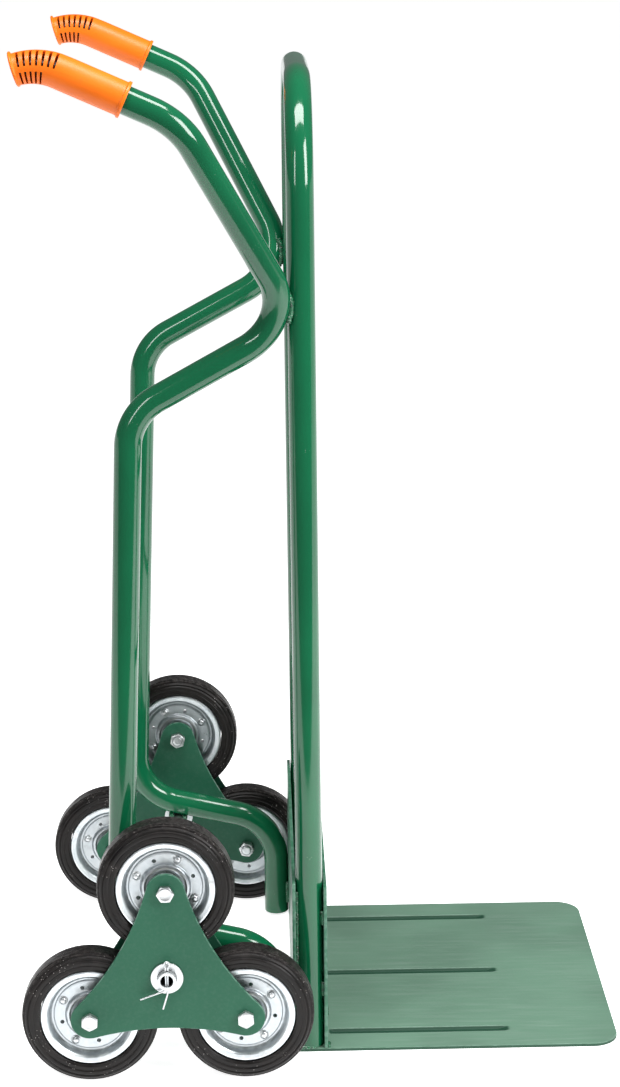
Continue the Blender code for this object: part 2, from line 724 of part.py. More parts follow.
def rim_profile(side):
    """One pressed half of a rim: the lip under the tyre, the dished web and the hub."""
    meeting = SEAT_GAP / 2
    outside = TYRE_BORE * math.cos(math.pi / TYRE_SIDES) - SEAT_GAP
    bore = around(BUSH_RADIUS + SEAT_GAP, RIM_SIDES)
    inside = outside - LIP_RING
    points = [
        (outside, meeting), (outside, LIP), (inside, LIP),
        (inside - DISH_SLOPE, meeting + WEB), (HUB_RADIUS, meeting + WEB),
        (HUB_RADIUS, HUB_FACE), (bore, HUB_FACE), (bore, meeting)]
    return [(radius, side * y) for radius, y in points]


def make_wheel(label, centre, star):
    """A wheel: a solid tyre on two pressed rim halves, turning on a bush round its bolt."""
    pivot = joint_empty("wheel_axis_" + label, centre, star)
    add_part("tyre_" + label, turned(tyre_profile(), TYRE_SIDES), "black_rubber", centre, pivot)
    for which, side in (("outer", 1), ("inner", -1)):
        outward = side if centre[1] > 0 else -side
        mesh = turned(rim_profile(outward), RIM_SIDES)
        add_part("rim_%s_%s" % (which, label), mesh, "zinc", centre, pivot)
    half = HALF_STAR - RUN_GAP
    bore = around(BOLT_RADIUS + SEAT_GAP, SMALL_SIDES)
    profile = [(BUSH_RADIUS, half), (BUSH_RADIUS, -half), (bore, -half), (bore, half)]
    add_part("bush_" + label, turned(profile, SMALL_SIDES), "nylon", centre, pivot)


make_back_loop()
make_cross_bars()
make_handle_tubes()
make_grips()
make_toe_plate()
make_upright_plates()
make_axle()
make_axle_fittings()
for side_name, side_sign in SIDES.items():
    make_star(side_name, side_sign)
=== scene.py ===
"""Stair-climbing hand truck: the visual model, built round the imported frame.

Every place and size is in metres, +Z up and +X towards the toe plate. The left hand is +Y.
"""

import json
import logging
import math
import random
from dataclasses import dataclass, field
from enum import Enum
from typing import Any, Callable, Mapping, Sequence, Union

import bmesh
import bpy
from mathutils import Matrix, Vector


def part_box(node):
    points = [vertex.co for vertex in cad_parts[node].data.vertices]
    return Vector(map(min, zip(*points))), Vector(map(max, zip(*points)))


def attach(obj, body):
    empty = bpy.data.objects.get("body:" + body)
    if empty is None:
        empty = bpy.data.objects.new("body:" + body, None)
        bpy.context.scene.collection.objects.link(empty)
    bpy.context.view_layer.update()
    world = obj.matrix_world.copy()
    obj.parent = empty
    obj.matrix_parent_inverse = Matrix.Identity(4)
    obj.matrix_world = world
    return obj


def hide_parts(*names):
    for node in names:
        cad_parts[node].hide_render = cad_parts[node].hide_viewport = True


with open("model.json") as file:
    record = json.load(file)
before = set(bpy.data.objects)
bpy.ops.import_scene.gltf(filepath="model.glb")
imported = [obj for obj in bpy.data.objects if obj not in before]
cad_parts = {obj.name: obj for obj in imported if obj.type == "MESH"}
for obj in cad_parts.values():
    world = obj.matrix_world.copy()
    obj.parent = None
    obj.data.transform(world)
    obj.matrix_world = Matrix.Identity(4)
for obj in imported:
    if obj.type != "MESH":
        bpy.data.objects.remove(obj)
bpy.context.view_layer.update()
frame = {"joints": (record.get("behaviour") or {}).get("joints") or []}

LOG = logging.getLogger("hand_truck")

Colour = tuple[float, float, float]
Loop = list[Vector]
Outline = list[tuple[float, float]]


# ---- named options ----
class Slot(Enum):
    """The record's material slots."""

    GREEN_PAINT = "green_paint"
    GREEN_PLATE = "green_plate"
    ZINC = "zinc"
    RIM_ZINC = "rim_zinc"
    ORANGE = "orange_plastic"
    RUBBER = "black_rubber"
    NYLON = "nylon"


class Side(Enum):
    """A side of the truck; the value is the sign of its Y."""

    LEFT = 1
    RIGHT = -1

    @property
    def word(self) -> str:
        """The side's name as the nodes spell it."""
        return self.name.lower()

    def mirror(self, point: Vector) -> Vector:
        """A left-hand point, moved to this side."""
        return Vector((point.x, self.value * point.y, point.z))


class Arm(Enum):
    """An arm of a star; the value is its angle above +X, in degrees."""

    TOP = 90
    REAR = 210
    FRONT = 330


class Lay(Enum):
    """Which way a surface's marks run; the value squeezes the pattern's coordinates."""

    EVEN = (1.0, 1.0, 1.0)
    ALONG_X = (0.05, 1.0, 1.0)
    ALONG_Y = (1.0, 0.05, 1.0)
    ALONG_Z = (1.0, 1.0, 0.05)


# ---- shader wiring ----
@dataclass(frozen=True)
class Lead:
    """A shader node's output, which can be added, taken away and multiplied.

    Numbers go through Math nodes, vectors through Vector Math and colours through Mix.
    """

    wiring: "Wiring"
    socket: bpy.types.NodeSocket

    def _work(self, operation: str, first: "Value", second: "Value") -> "Lead":
        """Add the node for one operation.

        Args:
            operation: ADD, SUBTRACT, MULTIPLY or DIVIDE.
            first: the left operand.
            second: the right operand.

        Returns:
            The node's result.
        """
        kinds = {side.socket.type for side in (first, second) if isinstance(side, Lead)}
        if "RGBA" in kinds:
            settings = {"data_type": "RGBA", "blend_type": operation}
            return self.wiring.add("ShaderNodeMix", settings, {0: 1.0, 6: first, 7: second}, 2)
        if "VECTOR" in kinds:
            return self.wiring.add("ShaderNodeVectorMath", {"operation": operation}, {0: first, 1: second})
        return self.wiring.add("ShaderNodeMath", {"operation": operation}, {0: first, 1: second})

    def __add__(self, other: "Value") -> "Lead":
        """self + other."""
        return self._work("ADD", self, other)

    def __radd__(self, other: "Value") -> "Lead":
        """other + self."""
        return self._work("ADD", other, self)

    def __sub__(self, other: "Value") -> "Lead":
        """self - other."""
        return self._work("SUBTRACT", self, other)

    def __rsub__(self, other: "Value") -> "Lead":
        """other - self."""
        return self._work("SUBTRACT", other, self)

    def __mul__(self, other: "Value") -> "Lead":
        """self * other."""
        return self._work("MULTIPLY", self, other)

    def __rmul__(self, other: "Value") -> "Lead":
        """other * self."""
        return self._work("MULTIPLY", other, self)


Value = Union[Lead, float, Sequence[float]]


class Wiring:
    """A new material's node tree, with one way to add any node."""

    def __init__(self, name: str) -> None:
        """Start a material.

        Args:
            name: the material's name.
        """
        self.material = bpy.data.materials.new(name)
        self.material.use_nodes = True
        self.tree = self.material.node_tree
        self.shader = self.tree.nodes["Principled BSDF"]

    def feed(self, socket: bpy.types.NodeSocket, value: Value) -> None:
        """Link a lead to a socket, or set the socket to a number, a vector or a colour.

        Args:
            socket: the input.
            value: what goes in.
        """
        if isinstance(value, Lead):
            self.tree.links.new(value.socket, socket)
        elif isinstance(value, (int, float)) and socket.type in ("VECTOR", "RGBA"):
            socket.default_value = (value,) * len(socket.default_value)
        elif socket.type == "RGBA":
            socket.default_value = (*value[:3], 1.0)
        else:
            socket.default_value = value

    def add(self, kind: str, settings: Mapping[str, Any] | None = None,
            sockets: Mapping[str | int, Value] | None = None, output: str | int = 0) -> Lead:
        """Add a node.

        Args:
            kind: the node's type.
            settings: its properties, set first; "stops" holds a ramp's (place, colour) pairs.
            sockets: values or leads for its inputs.
            output: which output to hand back.

        Returns:
            That output.
        """
        node = self.tree.nodes.new(kind)
        for name, value in (settings or {}).items():
            if name == "stops":
                ramp = node.color_ramp
                while len(ramp.elements) < len(value):
                    ramp.elements.new(1.0)
                for element, (place, colour) in zip(ramp.elements, value):
                    element.position = place
                    element.color = (*colour, 1.0)
            else:
                setattr(node, name, value)
        for name, value in (sockets or {}).items():
            self.feed(node.inputs[name], value)
        return Lead(self, node.outputs[output])

    def put(self, socket: str, value: Value) -> None:
        """Set or link one of the surface shader's own sockets."""
        self.feed(self.shader.inputs[socket], value)

    def place(self, lay: Lay = Lay.EVEN) -> Lead:
        """Coordinates on the piece, shifted by its own seed and squeezed along its marks."""
        own = self.add("ShaderNodeTexCoord", output="Object")
        seed = self.add("ShaderNodeAttribute", {"attribute_name": "seed"}, output="Vector")
        return (own + seed) * lay.value

    def noise(self, scale: float, detail: float = 3.0, rough: float = 0.55, lay: Lay = Lay.EVEN) -> Lead:
        """Cloudy noise from 0 to 1.

        Args:
            scale: blobs per metre.
            detail: octaves.
            rough: how much the small octaves show.
            lay: which way it is drawn out.

        Returns:
            The noise, mostly between 0.3 and 0.7.
        """
        return self.add("ShaderNodeTexNoise", {"noise_dimensions": "3D"},
                        {"Vector": self.place(lay), "Scale": scale, "Detail": detail, "Roughness": rough})

    def ramp(self, lead: Value, low: float, high: float, bottom: float = 0.0, top: float = 1.0) -> Lead:
        """Stretch a lead so that low gives bottom and high gives top, smoothly and clamped."""
        return self.add("ShaderNodeMapRange", {"interpolation_type": "SMOOTHSTEP"},
                        {"Value": lead, "From Min": low, "From Max": high, "To Min": bottom, "To Max": top})

    def specks(self, scale: float, share: float) -> Lead:
        """Small scattered spots.

        Args:
            scale: cells per metre.
            share: the size of a spot in its cell, from 0 to 1.

        Returns:
            A mask, 1 inside the spots.
        """
        cells = self.add("ShaderNodeTexVoronoi", {}, {"Vector": self.place(), "Scale": scale}, "Distance")
        return self.ramp(cells, share, share * 0.7)

    def blend(self, mask: Value, low: Value, high: Value) -> Lead:
        """The colour low where the mask is 0 and high where it is 1."""
        return self.add("ShaderNodeMix", {"data_type": "RGBA"}, {0: mask, 6: low, 7: high}, 2)

    def edge(self) -> Lead:
        """1 on a piece's sharp outer edges and 0 on its faces."""
        return self.add("ShaderNodeAttribute", {"attribute_name": "edge"}, output="Fac")

    def hollow(self) -> Lead:
        """Where painted shade darkens a piece: 1 deep in its hollows and 0 on its open faces."""
        return self.add("ShaderNodeAttribute", {"attribute_name": "hollow"}, output="Fac")

    def radius(self) -> Lead:
        """The distance from the piece's own Y axis."""
        own = self.add("ShaderNodeTexCoord", output="Object")
        return self.add("ShaderNodeVectorMath", {"operation": "LENGTH"}, {0: own * (1.0, 0.0, 1.0)}, "Value")

    def rings(self, scale: float, detail: float = 2.0) -> Lead:
        """Fine circles about the piece's own Y axis."""
        spread = self.add("ShaderNodeCombineXYZ", {}, {"X": self.radius() * scale})
        return self.add("ShaderNodeTexNoise", {}, {"Vector": spread, "Scale": 1.0, "Detail": detail})

    def bump(self, height: Value, distance: float, under: Lead | None = None) -> Lead:
        """A surface normal raised by a height from 0 to 1.

        Args:
            height: the relief.
            distance: its depth in metres.
            under: a normal that it lies on.

        Returns:
            The normal.
        """
        sockets: dict[str | int, Value] = {"Height": height, "Distance": distance, "Strength": 1.0}
        if under is not None:
            sockets["Normal"] = under
        return self.add("ShaderNodeBump", {}, sockets)


# ---- finishes ----
@dataclass(frozen=True)
class Finish:
    """A surface finish.

    Attributes:
        name: the material's name.
        colour: the main colour, linear.
        roughness: the surface's mean roughness.
    """

    name: str
    colour: Colour
    roughness: float

    def shade(self, level: float, warm: float = 0.0) -> Colour:
        """The main colour made lighter or darker.

        Args:
            level: the factor on it.
            warm: how far it moves towards red and away from blue.

        Returns:
            The colour.
        """
        red, green, blue = (channel * level for channel in self.colour)
        return (red * (1 + warm), green, blue * (1 - warm))

    def wire(self, wiring: Wiring) -> None:
        """Wire the finish into a new material."""
        raise NotImplementedError

    def build(self) -> bpy.types.Material:
        """Make the material."""
        wiring = Wiring(self.name)
        self.wire(wiring)
        return wiring.material


@dataclass(frozen=True)
class Enamel(Finish):
    """Wet-sprayed or powdered paint on steel.

    Attributes:
        coat: how strong the clear gloss on it is.
        coat_roughness: how soft that gloss is.
        shine: how strongly the paint itself mirrors.
        specks: how strongly dust and spatter in the paint show.
        lay: which way rubbing marks run.
        rub: how strongly they show.
        chalk: how much paler the rubbed streaks are.
    """

    coat: float = 0.35
    coat_roughness: float = 0.05
    shine: float = 0.40
    specks: float = 0.35
    lay: Lay = Lay.EVEN
    rub: float = 0.2
    chalk: float = 0.1

    def wire(self, wiring: Wiring) -> None:
        """Wire paint with cloudy tone, rubbed streaks, dust specks, worn edges, painted shade where hollows are
        marked, and orange peel.
        """
        cloud = wiring.ramp(wiring.noise(7.0, 2.0), 0.3, 0.7)
        streak = wiring.ramp(wiring.noise(260.0, 4.0, 0.6, self.lay), 0.42, 0.72)
        tone = wiring.blend(cloud, self.shade(0.90), self.shade(1.10))
        tone = wiring.blend(streak * self.chalk, tone, (0.30, 0.36, 0.33))
        patch = wiring.ramp(wiring.noise(16.0, 2.0), 0.60, 0.70)
        dust = wiring.specks(300.0, 0.13) * patch * self.specks
        tone = wiring.blend(dust, tone, (0.42, 0.52, 0.46))
        worn = wiring.edge() * wiring.ramp(wiring.noise(170.0, 4.0), 0.40, 0.60)
        tone = wiring.blend(worn * 0.55, tone, (0.22, 0.34, 0.28))
        # Painted shade: where the hollow attribute is set, the base colour is darkened almost to black-green.
        hollow = wiring.hollow()
        tone = wiring.blend(hollow * 0.97, tone, (0.003, 0.042, 0.020))
        wiring.put("Base Color", tone)
        rough = wiring.noise(30.0, 3.0) * 0.12 + (self.roughness - 0.06) + streak * (0.12 * self.rub)
        wiring.put("Roughness", rough + worn * 0.15 + hollow * 0.2)
        wiring.put("Specular IOR Level", self.shine)
        wiring.put("Coat Weight", self.coat - hollow * self.coat)
        wiring.put("Coat Roughness", self.coat_roughness)
        peel = wiring.bump(wiring.noise(90.0, 2.0), 0.00003)
        grit = wiring.bump(wiring.specks(300.0, 0.16) * patch, 0.00022 * self.specks, peel)
        wiring.put("Normal", wiring.bump(streak, 0.00005 * self.rub, grit))


@dataclass(frozen=True)
class WeldPaint(Enamel):
    """Paint over a weld, lumpy and flecked with spatter."""

    def wire(self, wiring: Wiring) -> None:
        """Wire flecked paint over rough weld metal."""
        lumps = wiring.noise(520.0, 3.0, 0.6)
        dark = wiring.ramp(wiring.noise(300.0, 3.0), 0.44, 0.60)
        tone = wiring.blend(dark * 0.8, self.shade(1.0), self.shade(0.22))
        fleck = wiring.specks(420.0, 0.26) * wiring.ramp(wiring.noise(90.0, 2.0), 0.46, 0.58)
        tone = wiring.blend(fleck * self.specks, tone, (0.55, 0.64, 0.58))
        wiring.put("Base Color", tone)
        wiring.put("Roughness", lumps * 0.25 + (self.roughness - 0.08))
        wiring.put("Coat Weight", self.coat)
        wiring.put("Coat Roughness", self.coat_roughness)
        wiring.put("Normal", wiring.bump(fleck, 0.0003, wiring.bump(lumps, 0.0008)))


@dataclass(frozen=True)
class Zinc(Finish):
    """Bright zinc plating on steel.

    Attributes:
        turned: how strongly circles from spinning or turning show.
        spangle: how strongly the plating's cloudy crystals show.
    """

    turned: float = 0.0
    spangle: float = 0.5

    def with_painted_shade(self, wiring: Wiring, tone: Lead) -> Lead:
        """The colour with any painted shade added; plain plating paints none and leaves it as it is."""
        return tone

    def wire(self, wiring: Wiring) -> None:
        """Wire cloudy, slightly blue metal with fine circles and stains, then any painted shade."""
        cloud = wiring.ramp(wiring.noise(60.0, 4.0, 0.65), 0.34, 0.68)
        crystal = wiring.add("ShaderNodeTexVoronoi", {}, {"Vector": wiring.place(), "Scale": 330.0}, "Color")
        grain = wiring.add("ShaderNodeSeparateColor", {}, {"Color": crystal}, "Red")
        tone = wiring.blend(cloud, self.shade(0.80, -0.03), self.shade(1.06))
        tone = wiring.blend(grain * (0.25 * self.spangle), tone, self.shade(0.78, -0.05))
        stain = wiring.ramp(wiring.noise(38.0, 5.0, 0.6), 0.60, 0.74)
        tone = wiring.blend(stain * 0.45, tone, (0.30, 0.29, 0.27))
        wiring.put("Base Color", self.with_painted_shade(wiring, tone))
        circles = wiring.rings(2600.0)
        wiring.put("Metallic", 1.0 - stain * 0.35)
        rough = cloud * 0.12 + (self.roughness - 0.06) + grain * (0.10 * self.spangle)
        wiring.put("Roughness", rough + stain * 0.2 + circles * (0.10 * self.turned))
        fine = wiring.bump(wiring.noise(700.0, 3.0), 0.00003)
        wiring.put("Normal", wiring.bump(circles, 0.00006 * self.turned, fine))


@dataclass(frozen=True)
class PressedZinc(Zinc):
    """Zinc on a pressed wheel rim: painted shade darkens its dish and hub inside the rolled lip, heavier and patchy
    in the creases.
    """

    def with_painted_shade(self, wiring: Wiring, tone: Lead) -> Lead:
        """Darken the dish and hub with painted shade, heavier and patchy in their creases."""
        radius = wiring.radius()
        dish = wiring.ramp(radius, 0.0500, 0.0485)
        foot = wiring.ramp(radius, 0.0445, 0.0465) * wiring.ramp(radius, 0.0490, 0.0475)
        root = wiring.ramp(radius, 0.0300, 0.0285) * wiring.ramp(radius, 0.0262, 0.0275)
        crease_shade_noise = wiring.ramp(wiring.noise(120.0, 4.0, 0.6), 0.32, 0.62)
        # Painted shade: inside the lip the colour is halved, and the creases are darkened further, broken up by
        # noise.
        tone = wiring.blend(dish * 0.50, tone, self.shade(0.50, -0.04))
        return wiring.blend((foot + root) * crease_shade_noise * 0.55, tone, (0.13, 0.14, 0.145))


@dataclass(frozen=True)
class Rubber(Finish):
    """Black tyre rubber, dusty where it has rolled."""

    def wire(self, wiring: Wiring) -> None:
        """Wire dark rubber with moulding circles, grey dust, pale grit and a scuffed tread."""
        cloud = wiring.ramp(wiring.noise(45.0, 4.0, 0.6), 0.36, 0.66)
        tone = wiring.blend(cloud, self.shade(0.78), self.shade(1.25, 0.05))
        tread = wiring.ramp(wiring.radius(), 0.0745, 0.0795)
        scuff = wiring.ramp(wiring.noise(210.0, 5.0, 0.65), 0.44, 0.66)
        tone = wiring.blend(tread * scuff * 0.30, tone, (0.12, 0.105, 0.10))
        dust = wiring.ramp(wiring.noise(24.0, 3.0), 0.54, 0.74)
        tone = wiring.blend(dust * 0.14, tone, (0.085, 0.075, 0.072))
        grit = wiring.specks(300.0, 0.15) * wiring.ramp(wiring.noise(30.0, 2.0), 0.50, 0.60)
        tone = wiring.blend(grit * 0.8, tone, (0.50, 0.47, 0.45))
        wiring.put("Base Color", tone)
        wiring.put("Specular IOR Level", 0.22)
        circles = wiring.rings(1300.0, 3.0)
        wiring.put("Roughness", cloud * 0.16 + (self.roughness - 0.08) + dust * 0.12)
        skin = wiring.bump(wiring.noise(900.0, 4.0, 0.7), 0.00012)
        lines = wiring.bump(circles, 0.00016, skin)
        wiring.put("Normal", wiring.bump(scuff * tread, 0.0004, lines))


@dataclass(frozen=True)
class Moulded(Finish):
    """Injection-moulded plastic.

    Attributes:
        grain: the depth of the moulded texture, in metres.
    """

    grain: float = 0.00006

    def wire(self, wiring: Wiring) -> None:
        """Wire plastic with a spark-eroded grain, faint flow marks, dirt, paler edges and painted shade where
        hollows are marked.
        """
        flow = wiring.ramp(wiring.noise(28.0, 3.0, 0.5, Lay.ALONG_X), 0.34, 0.68)
        tone = wiring.blend(flow, self.shade(0.93, 0.01), self.shade(1.04))
        dirt = wiring.ramp(wiring.noise(80.0, 5.0, 0.6), 0.60, 0.76)
        tone = wiring.blend(dirt * 0.22, tone, self.shade(0.55, 0.1))
        rubbed = wiring.edge() * wiring.ramp(wiring.noise(240.0, 3.0), 0.36, 0.60)
        tone = wiring.blend(rubbed * 0.35, tone, self.shade(1.25))
        # Painted shade: where the hollow attribute is set, the colour is darkened almost to black.
        wiring.put("Base Color", wiring.blend(wiring.hollow() * 0.97, tone, self.shade(0.03)))
        wiring.put("Specular IOR Level", 0.35)
        wiring.put("Roughness", flow * 0.08 + (self.roughness - 0.04) + dirt * 0.15 - rubbed * 0.1)
        broad = wiring.bump(wiring.noise(160.0, 2.0), 0.00008)
        wiring.put("Normal", wiring.bump(wiring.noise(1300.0, 2.0), self.grain, broad))


GLOSS_GREEN = Enamel("gloss_green_enamel", (0.003, 0.096, 0.038), 0.12, rub=0.0, chalk=0.0)
STAR_GREEN = Enamel("star_green_enamel", (0.014, 0.086, 0.048), 0.45, 0.08, 0.3, 0.2, 0.2, Lay.EVEN, 0.3, 0.03)
PLATE_GREEN = Enamel("satin_green_enamel", (0.018, 0.120, 0.062), 0.36, 0.2, 0.2, 0.35, 0.3, Lay.ALONG_Y, 0.4, 0.05)
SHELF_GREEN = Enamel("rubbed_green_enamel", (0.110, 0.207, 0.146), 0.42, 0.2, 0.3, 0.4, 0.2, Lay.ALONG_X, 1.0, 0.16)
WELD_GREEN = WeldPaint("weld_green_enamel", (0.008, 0.125, 0.052), 0.34, 0.3, 0.15, 0.4, 0.8)
BRIGHT_ZINC = Zinc("bright_zinc", (0.66, 0.67, 0.67), 0.34, 0.3, 0.3)
PRESSED_ZINC = PressedZinc("pressed_zinc", (0.70, 0.73, 0.74), 0.28, 1.0, 0.8)
TYRE_RUBBER = Rubber("tyre_rubber", (0.0065, 0.0054, 0.0052), 0.36)
ORANGE_GRIP = Moulded("orange_grip_plastic", (0.80, 0.150, 0.004), 0.40)
NATURAL_NYLON = Moulded("natural_nylon", (0.75, 0.72, 0.64), 0.45)


# ---- mesh tools ----
def bent_path(corners: Sequence[Vector], bends: Sequence[float], step: float = math.radians(4)) -> Loop:
    """A centre line through corners, each inner corner rounded.

    Args:
        corners: the corners, ends included.
        bends: a bend radius for each inner corner.
        step: the angle between two points of a bend.

    Returns:
        The points.
    """
    points = [corners[0].copy()]
    for before, corner, after, bend in zip(corners, corners[1:], corners[2:], bends):
        into, out = (corner - before).normalized(), (after - corner).normalized()
        turn = into.angle(out)
        start = corner - into * bend * math.tan(turn / 2)
        inward = (out - into * into.dot(out)).normalized()
        steps = max(2, math.ceil(turn / step))
        for number in range(steps + 1):
            angle = turn * number / steps
            points.append(start + into * bend * math.sin(angle) + inward * bend * (1 - math.cos(angle)))
    points.append(corners[-1].copy())
    return points


def stretched(path: Loop, longest: float) -> Loop:
    """The same path with extra points, so that no step is longer than a length."""
    points = [path[0]]
    for before, after in zip(path, path[1:]):
        parts = max(1, math.ceil((after - before).length / longest))
        points += [before.lerp(after, part / parts) for part in range(1, parts + 1)]
    return points


def frames_along(path: Loop) -> list[tuple[Vector, Vector, Vector]]:
    """Directions along a path that don't twist.

    Args:
        path: the centre line.

    Returns:
        For each point, the way along and two directions across.
    """
    tangents = []
    for number in range(len(path)):
        ahead, behind = path[min(number + 1, len(path) - 1)], path[max(number - 1, 0)]
        tangents.append((ahead - behind).normalized())
    across = tangents[0].orthogonal().normalized()
    frames = []
    for before, tangent in zip([tangents[0]] + tangents, tangents):
        across = before.rotation_difference(tangent) @ across
        across = (across - tangent * tangent.dot(across)).normalized()
        frames.append((tangent, across, tangent.cross(across)))
    return frames


def loft(name: str, rows: Sequence[Loop], joined: bool = False) -> bpy.types.Mesh:
    """A skin through rows of points, each row a closed ring with the same number of points.

    Args:
        name: the mesh's name.
        rows: the rings, in order.
        joined: join the last ring to the first; otherwise both ends are closed with faces.

    Returns:
        The mesh, its faces outwards.
    """
    count = len(rows[0])
    points = [point for row in rows for point in row]
    faces: list[Sequence[int]] = []
    pairs = list(zip(range(len(rows)), range(1, len(rows))))
    if joined:
        pairs.append((len(rows) - 1, 0))
    for low, high in pairs:
        for step in range(count):
            after = (step + 1) % count
            faces.append((low * count + step, low * count + after, high * count + after, high * count + step))
    if not joined:
        for row in (0, len(rows) - 1):
            points.append(sum(rows[row], Vector()) / count)
            hub = len(points) - 1
            faces += [(hub, row * count + step, row * count + (step + 1) % count) for step in range(count)]
    mesh = bpy.data.meshes.new(name)
    mesh.from_pydata(points, [], faces)
    return closed_up(mesh)


def closed_up(mesh: bpy.types.Mesh) -> bpy.types.Mesh:
    """Weld a mesh's doubled points and turn its faces outwards."""
    work = bmesh.new()
    work.from_mesh(mesh)
    bmesh.ops.remove_doubles(work, verts=work.verts, dist=1e-6)
    bmesh.ops.recalc_face_normals(work, faces=work.faces)
    work.to_mesh(mesh)
    work.free()
    return mesh


def merged(name: str, meshes: Sequence[bpy.types.Mesh]) -> bpy.types.Mesh:
    """One mesh that holds several."""
    work = bmesh.new()
    for mesh in meshes:
        work.from_mesh(mesh)
    result = bpy.data.meshes.new(name)
    work.to_mesh(result)
    work.free()
    return result


def moved(mesh: bpy.types.Mesh, turn: Matrix) -> bpy.types.Mesh:
    """A copy of a mesh, moved by a matrix, its faces still outwards."""
    copy = mesh.copy()
    copy.transform(turn)
    if turn.determinant() < 0:
        copy.flip_normals()
    return copy


def circle(radius: float, y: float, sides: int, corners: int = 0, turn: float = 0.0) -> Loop:
    """A ring of points about the Y axis.

    Args:
        radius: its radius, or half its width across the flats if it has corners.
        y: where it lies along the axis.
        sides: how many points it has.
        corners: 6 for a hexagon, 0 for a circle.
        turn: where its first corner points, in radians.

    Returns:
        The points.
    """
    points = []
    for number in range(sides):
        angle = 2 * math.pi * number / sides
        reach = radius
        if corners:
            part = math.pi / corners
            reach = radius / math.cos(angle % (2 * part) - part)
        points.append(Vector((reach * math.cos(angle + turn), y, reach * math.sin(angle + turn))))
    return points


def turned(name: str, profile: Sequence[tuple[float, float]], sides: int) -> bpy.types.Mesh:
    """A ring turned about Y from a closed profile of (radius, y) points."""
    return loft(name, [circle(radius, y, sides) for radius, y in profile], joined=True)


def rounded(profile: Sequence[tuple[float, float, float]], steps: int = 3) -> Outline:
    """Round the corners of a closed outline, with a support point beside each.

    Args:
        profile: (x, y, rounding radius) corners.
        steps: how many steps each rounding takes.

    Returns:
        The outline.
    """
    points: Outline = []
    count = len(profile)
    for number, (x, y, radius) in enumerate(profile):
        corner = Vector((x, y))
        back = Vector(profile[number - 1][:2]) - corner
        ahead = Vector(profile[(number + 1) % count][:2]) - corner
        if radius <= 0:
            points.append((x, y))
            continue
        angle = back.angle(ahead)
        reach = min(radius / math.tan(angle / 2), 0.45 * back.length, 0.45 * ahead.length)
        start, end = corner + back.normalized() * reach, corner + ahead.normalized() * reach
        support = 0.6 * reach
        if back.length > 2 * (reach + support):
            points.append(tuple(start + back.normalized() * support))
        for step in range(steps + 1):
            share = step / steps
            here = start.lerp(corner, share).lerp(corner.lerp(end, share), share)
            points.append(tuple(here))
        if ahead.length > 2 * (reach + support):
            points.append(tuple(end + ahead.normalized() * support))
    return points


def swept(name: str, path: Loop, radius: float | Callable[[float], float], sides: int,
          flat: float = 1.0) -> bpy.types.Mesh:
    """A round bar along a path.

    Args:
        name: the mesh's name.
        path: the centre line.
        radius: its radius, or a function that gives it from the share of the path passed.
        sides: points round it.
        flat: its width in the second direction across, over that in the first.

    Returns:
        The mesh.
    """
    rows = []
    for number, (place, (_, across, beside)) in enumerate(zip(path, frames_along(path))):
        reach = radius(number / (len(path) - 1)) if callable(radius) else radius
        rows.append([place + (across * math.cos(angle) + beside * flat * math.sin(angle)) * reach
                     for angle in (2 * math.pi * step / sides for step in range(sides))])
    return loft(name, rows)


def tube(name: str, path: Loop, radius: float, wall: float, sides: int = 48) -> bpy.types.Mesh:
    """A hollow tube with open, slightly rounded ends.

    Args:
        name: the mesh's name.
        path: the centre line.
        radius: the outer radius.
        wall: the wall's thickness.
        sides: points round it.

    Returns:
        The mesh.
    """
    lip = wall / 4
    frames = frames_along(path)
    stations = [(0, 0.0, radius - lip), (0, lip, radius), (0, 3 * lip, radius)]
    stations += [(number, 0.0, radius) for number in range(1, len(path) - 1)]
    last = len(path) - 1
    stations += [(last, -3 * lip, radius), (last, -lip, radius), (last, 0.0, radius - lip)]
    stations += [(last, 0.0, radius - wall + lip), (last, -lip, radius - wall)]
    stations += [(number, 0.0, radius - wall) for number in range(last - 1, 0, -1)]
    stations += [(0, lip, radius - wall), (0, 0.0, radius - wall + lip)]
    rows = []
    for number, ahead, reach in stations:
        tangent, across, beside = frames[number]
        place = path[number] + tangent * ahead
        rows.append([place + (across * math.cos(angle) + beside * math.sin(angle)) * reach
                     for angle in (2 * math.pi * step / sides for step in range(sides))])
    return loft(name, rows, joined=True)


def inset(outline: Outline, depth: float) -> Outline:
    """An outline moved towards its left-hand side, point by point."""
    points = []
    count = len(outline)
    for number in range(count):
        before, here = Vector(outline[number - 1]), Vector(outline[number])
        after = Vector(outline[(number + 1) % count])
        way_in, way_out = (here - before).normalized(), (after - here).normalized()
        left_in, left_out = Vector((-way_in.y, way_in.x)), Vector((-way_out.y, way_out.x))
        middle = (left_in + left_out).normalized()
        points.append(tuple(here + middle * depth / max(0.5, middle.dot(left_in))))
    return points


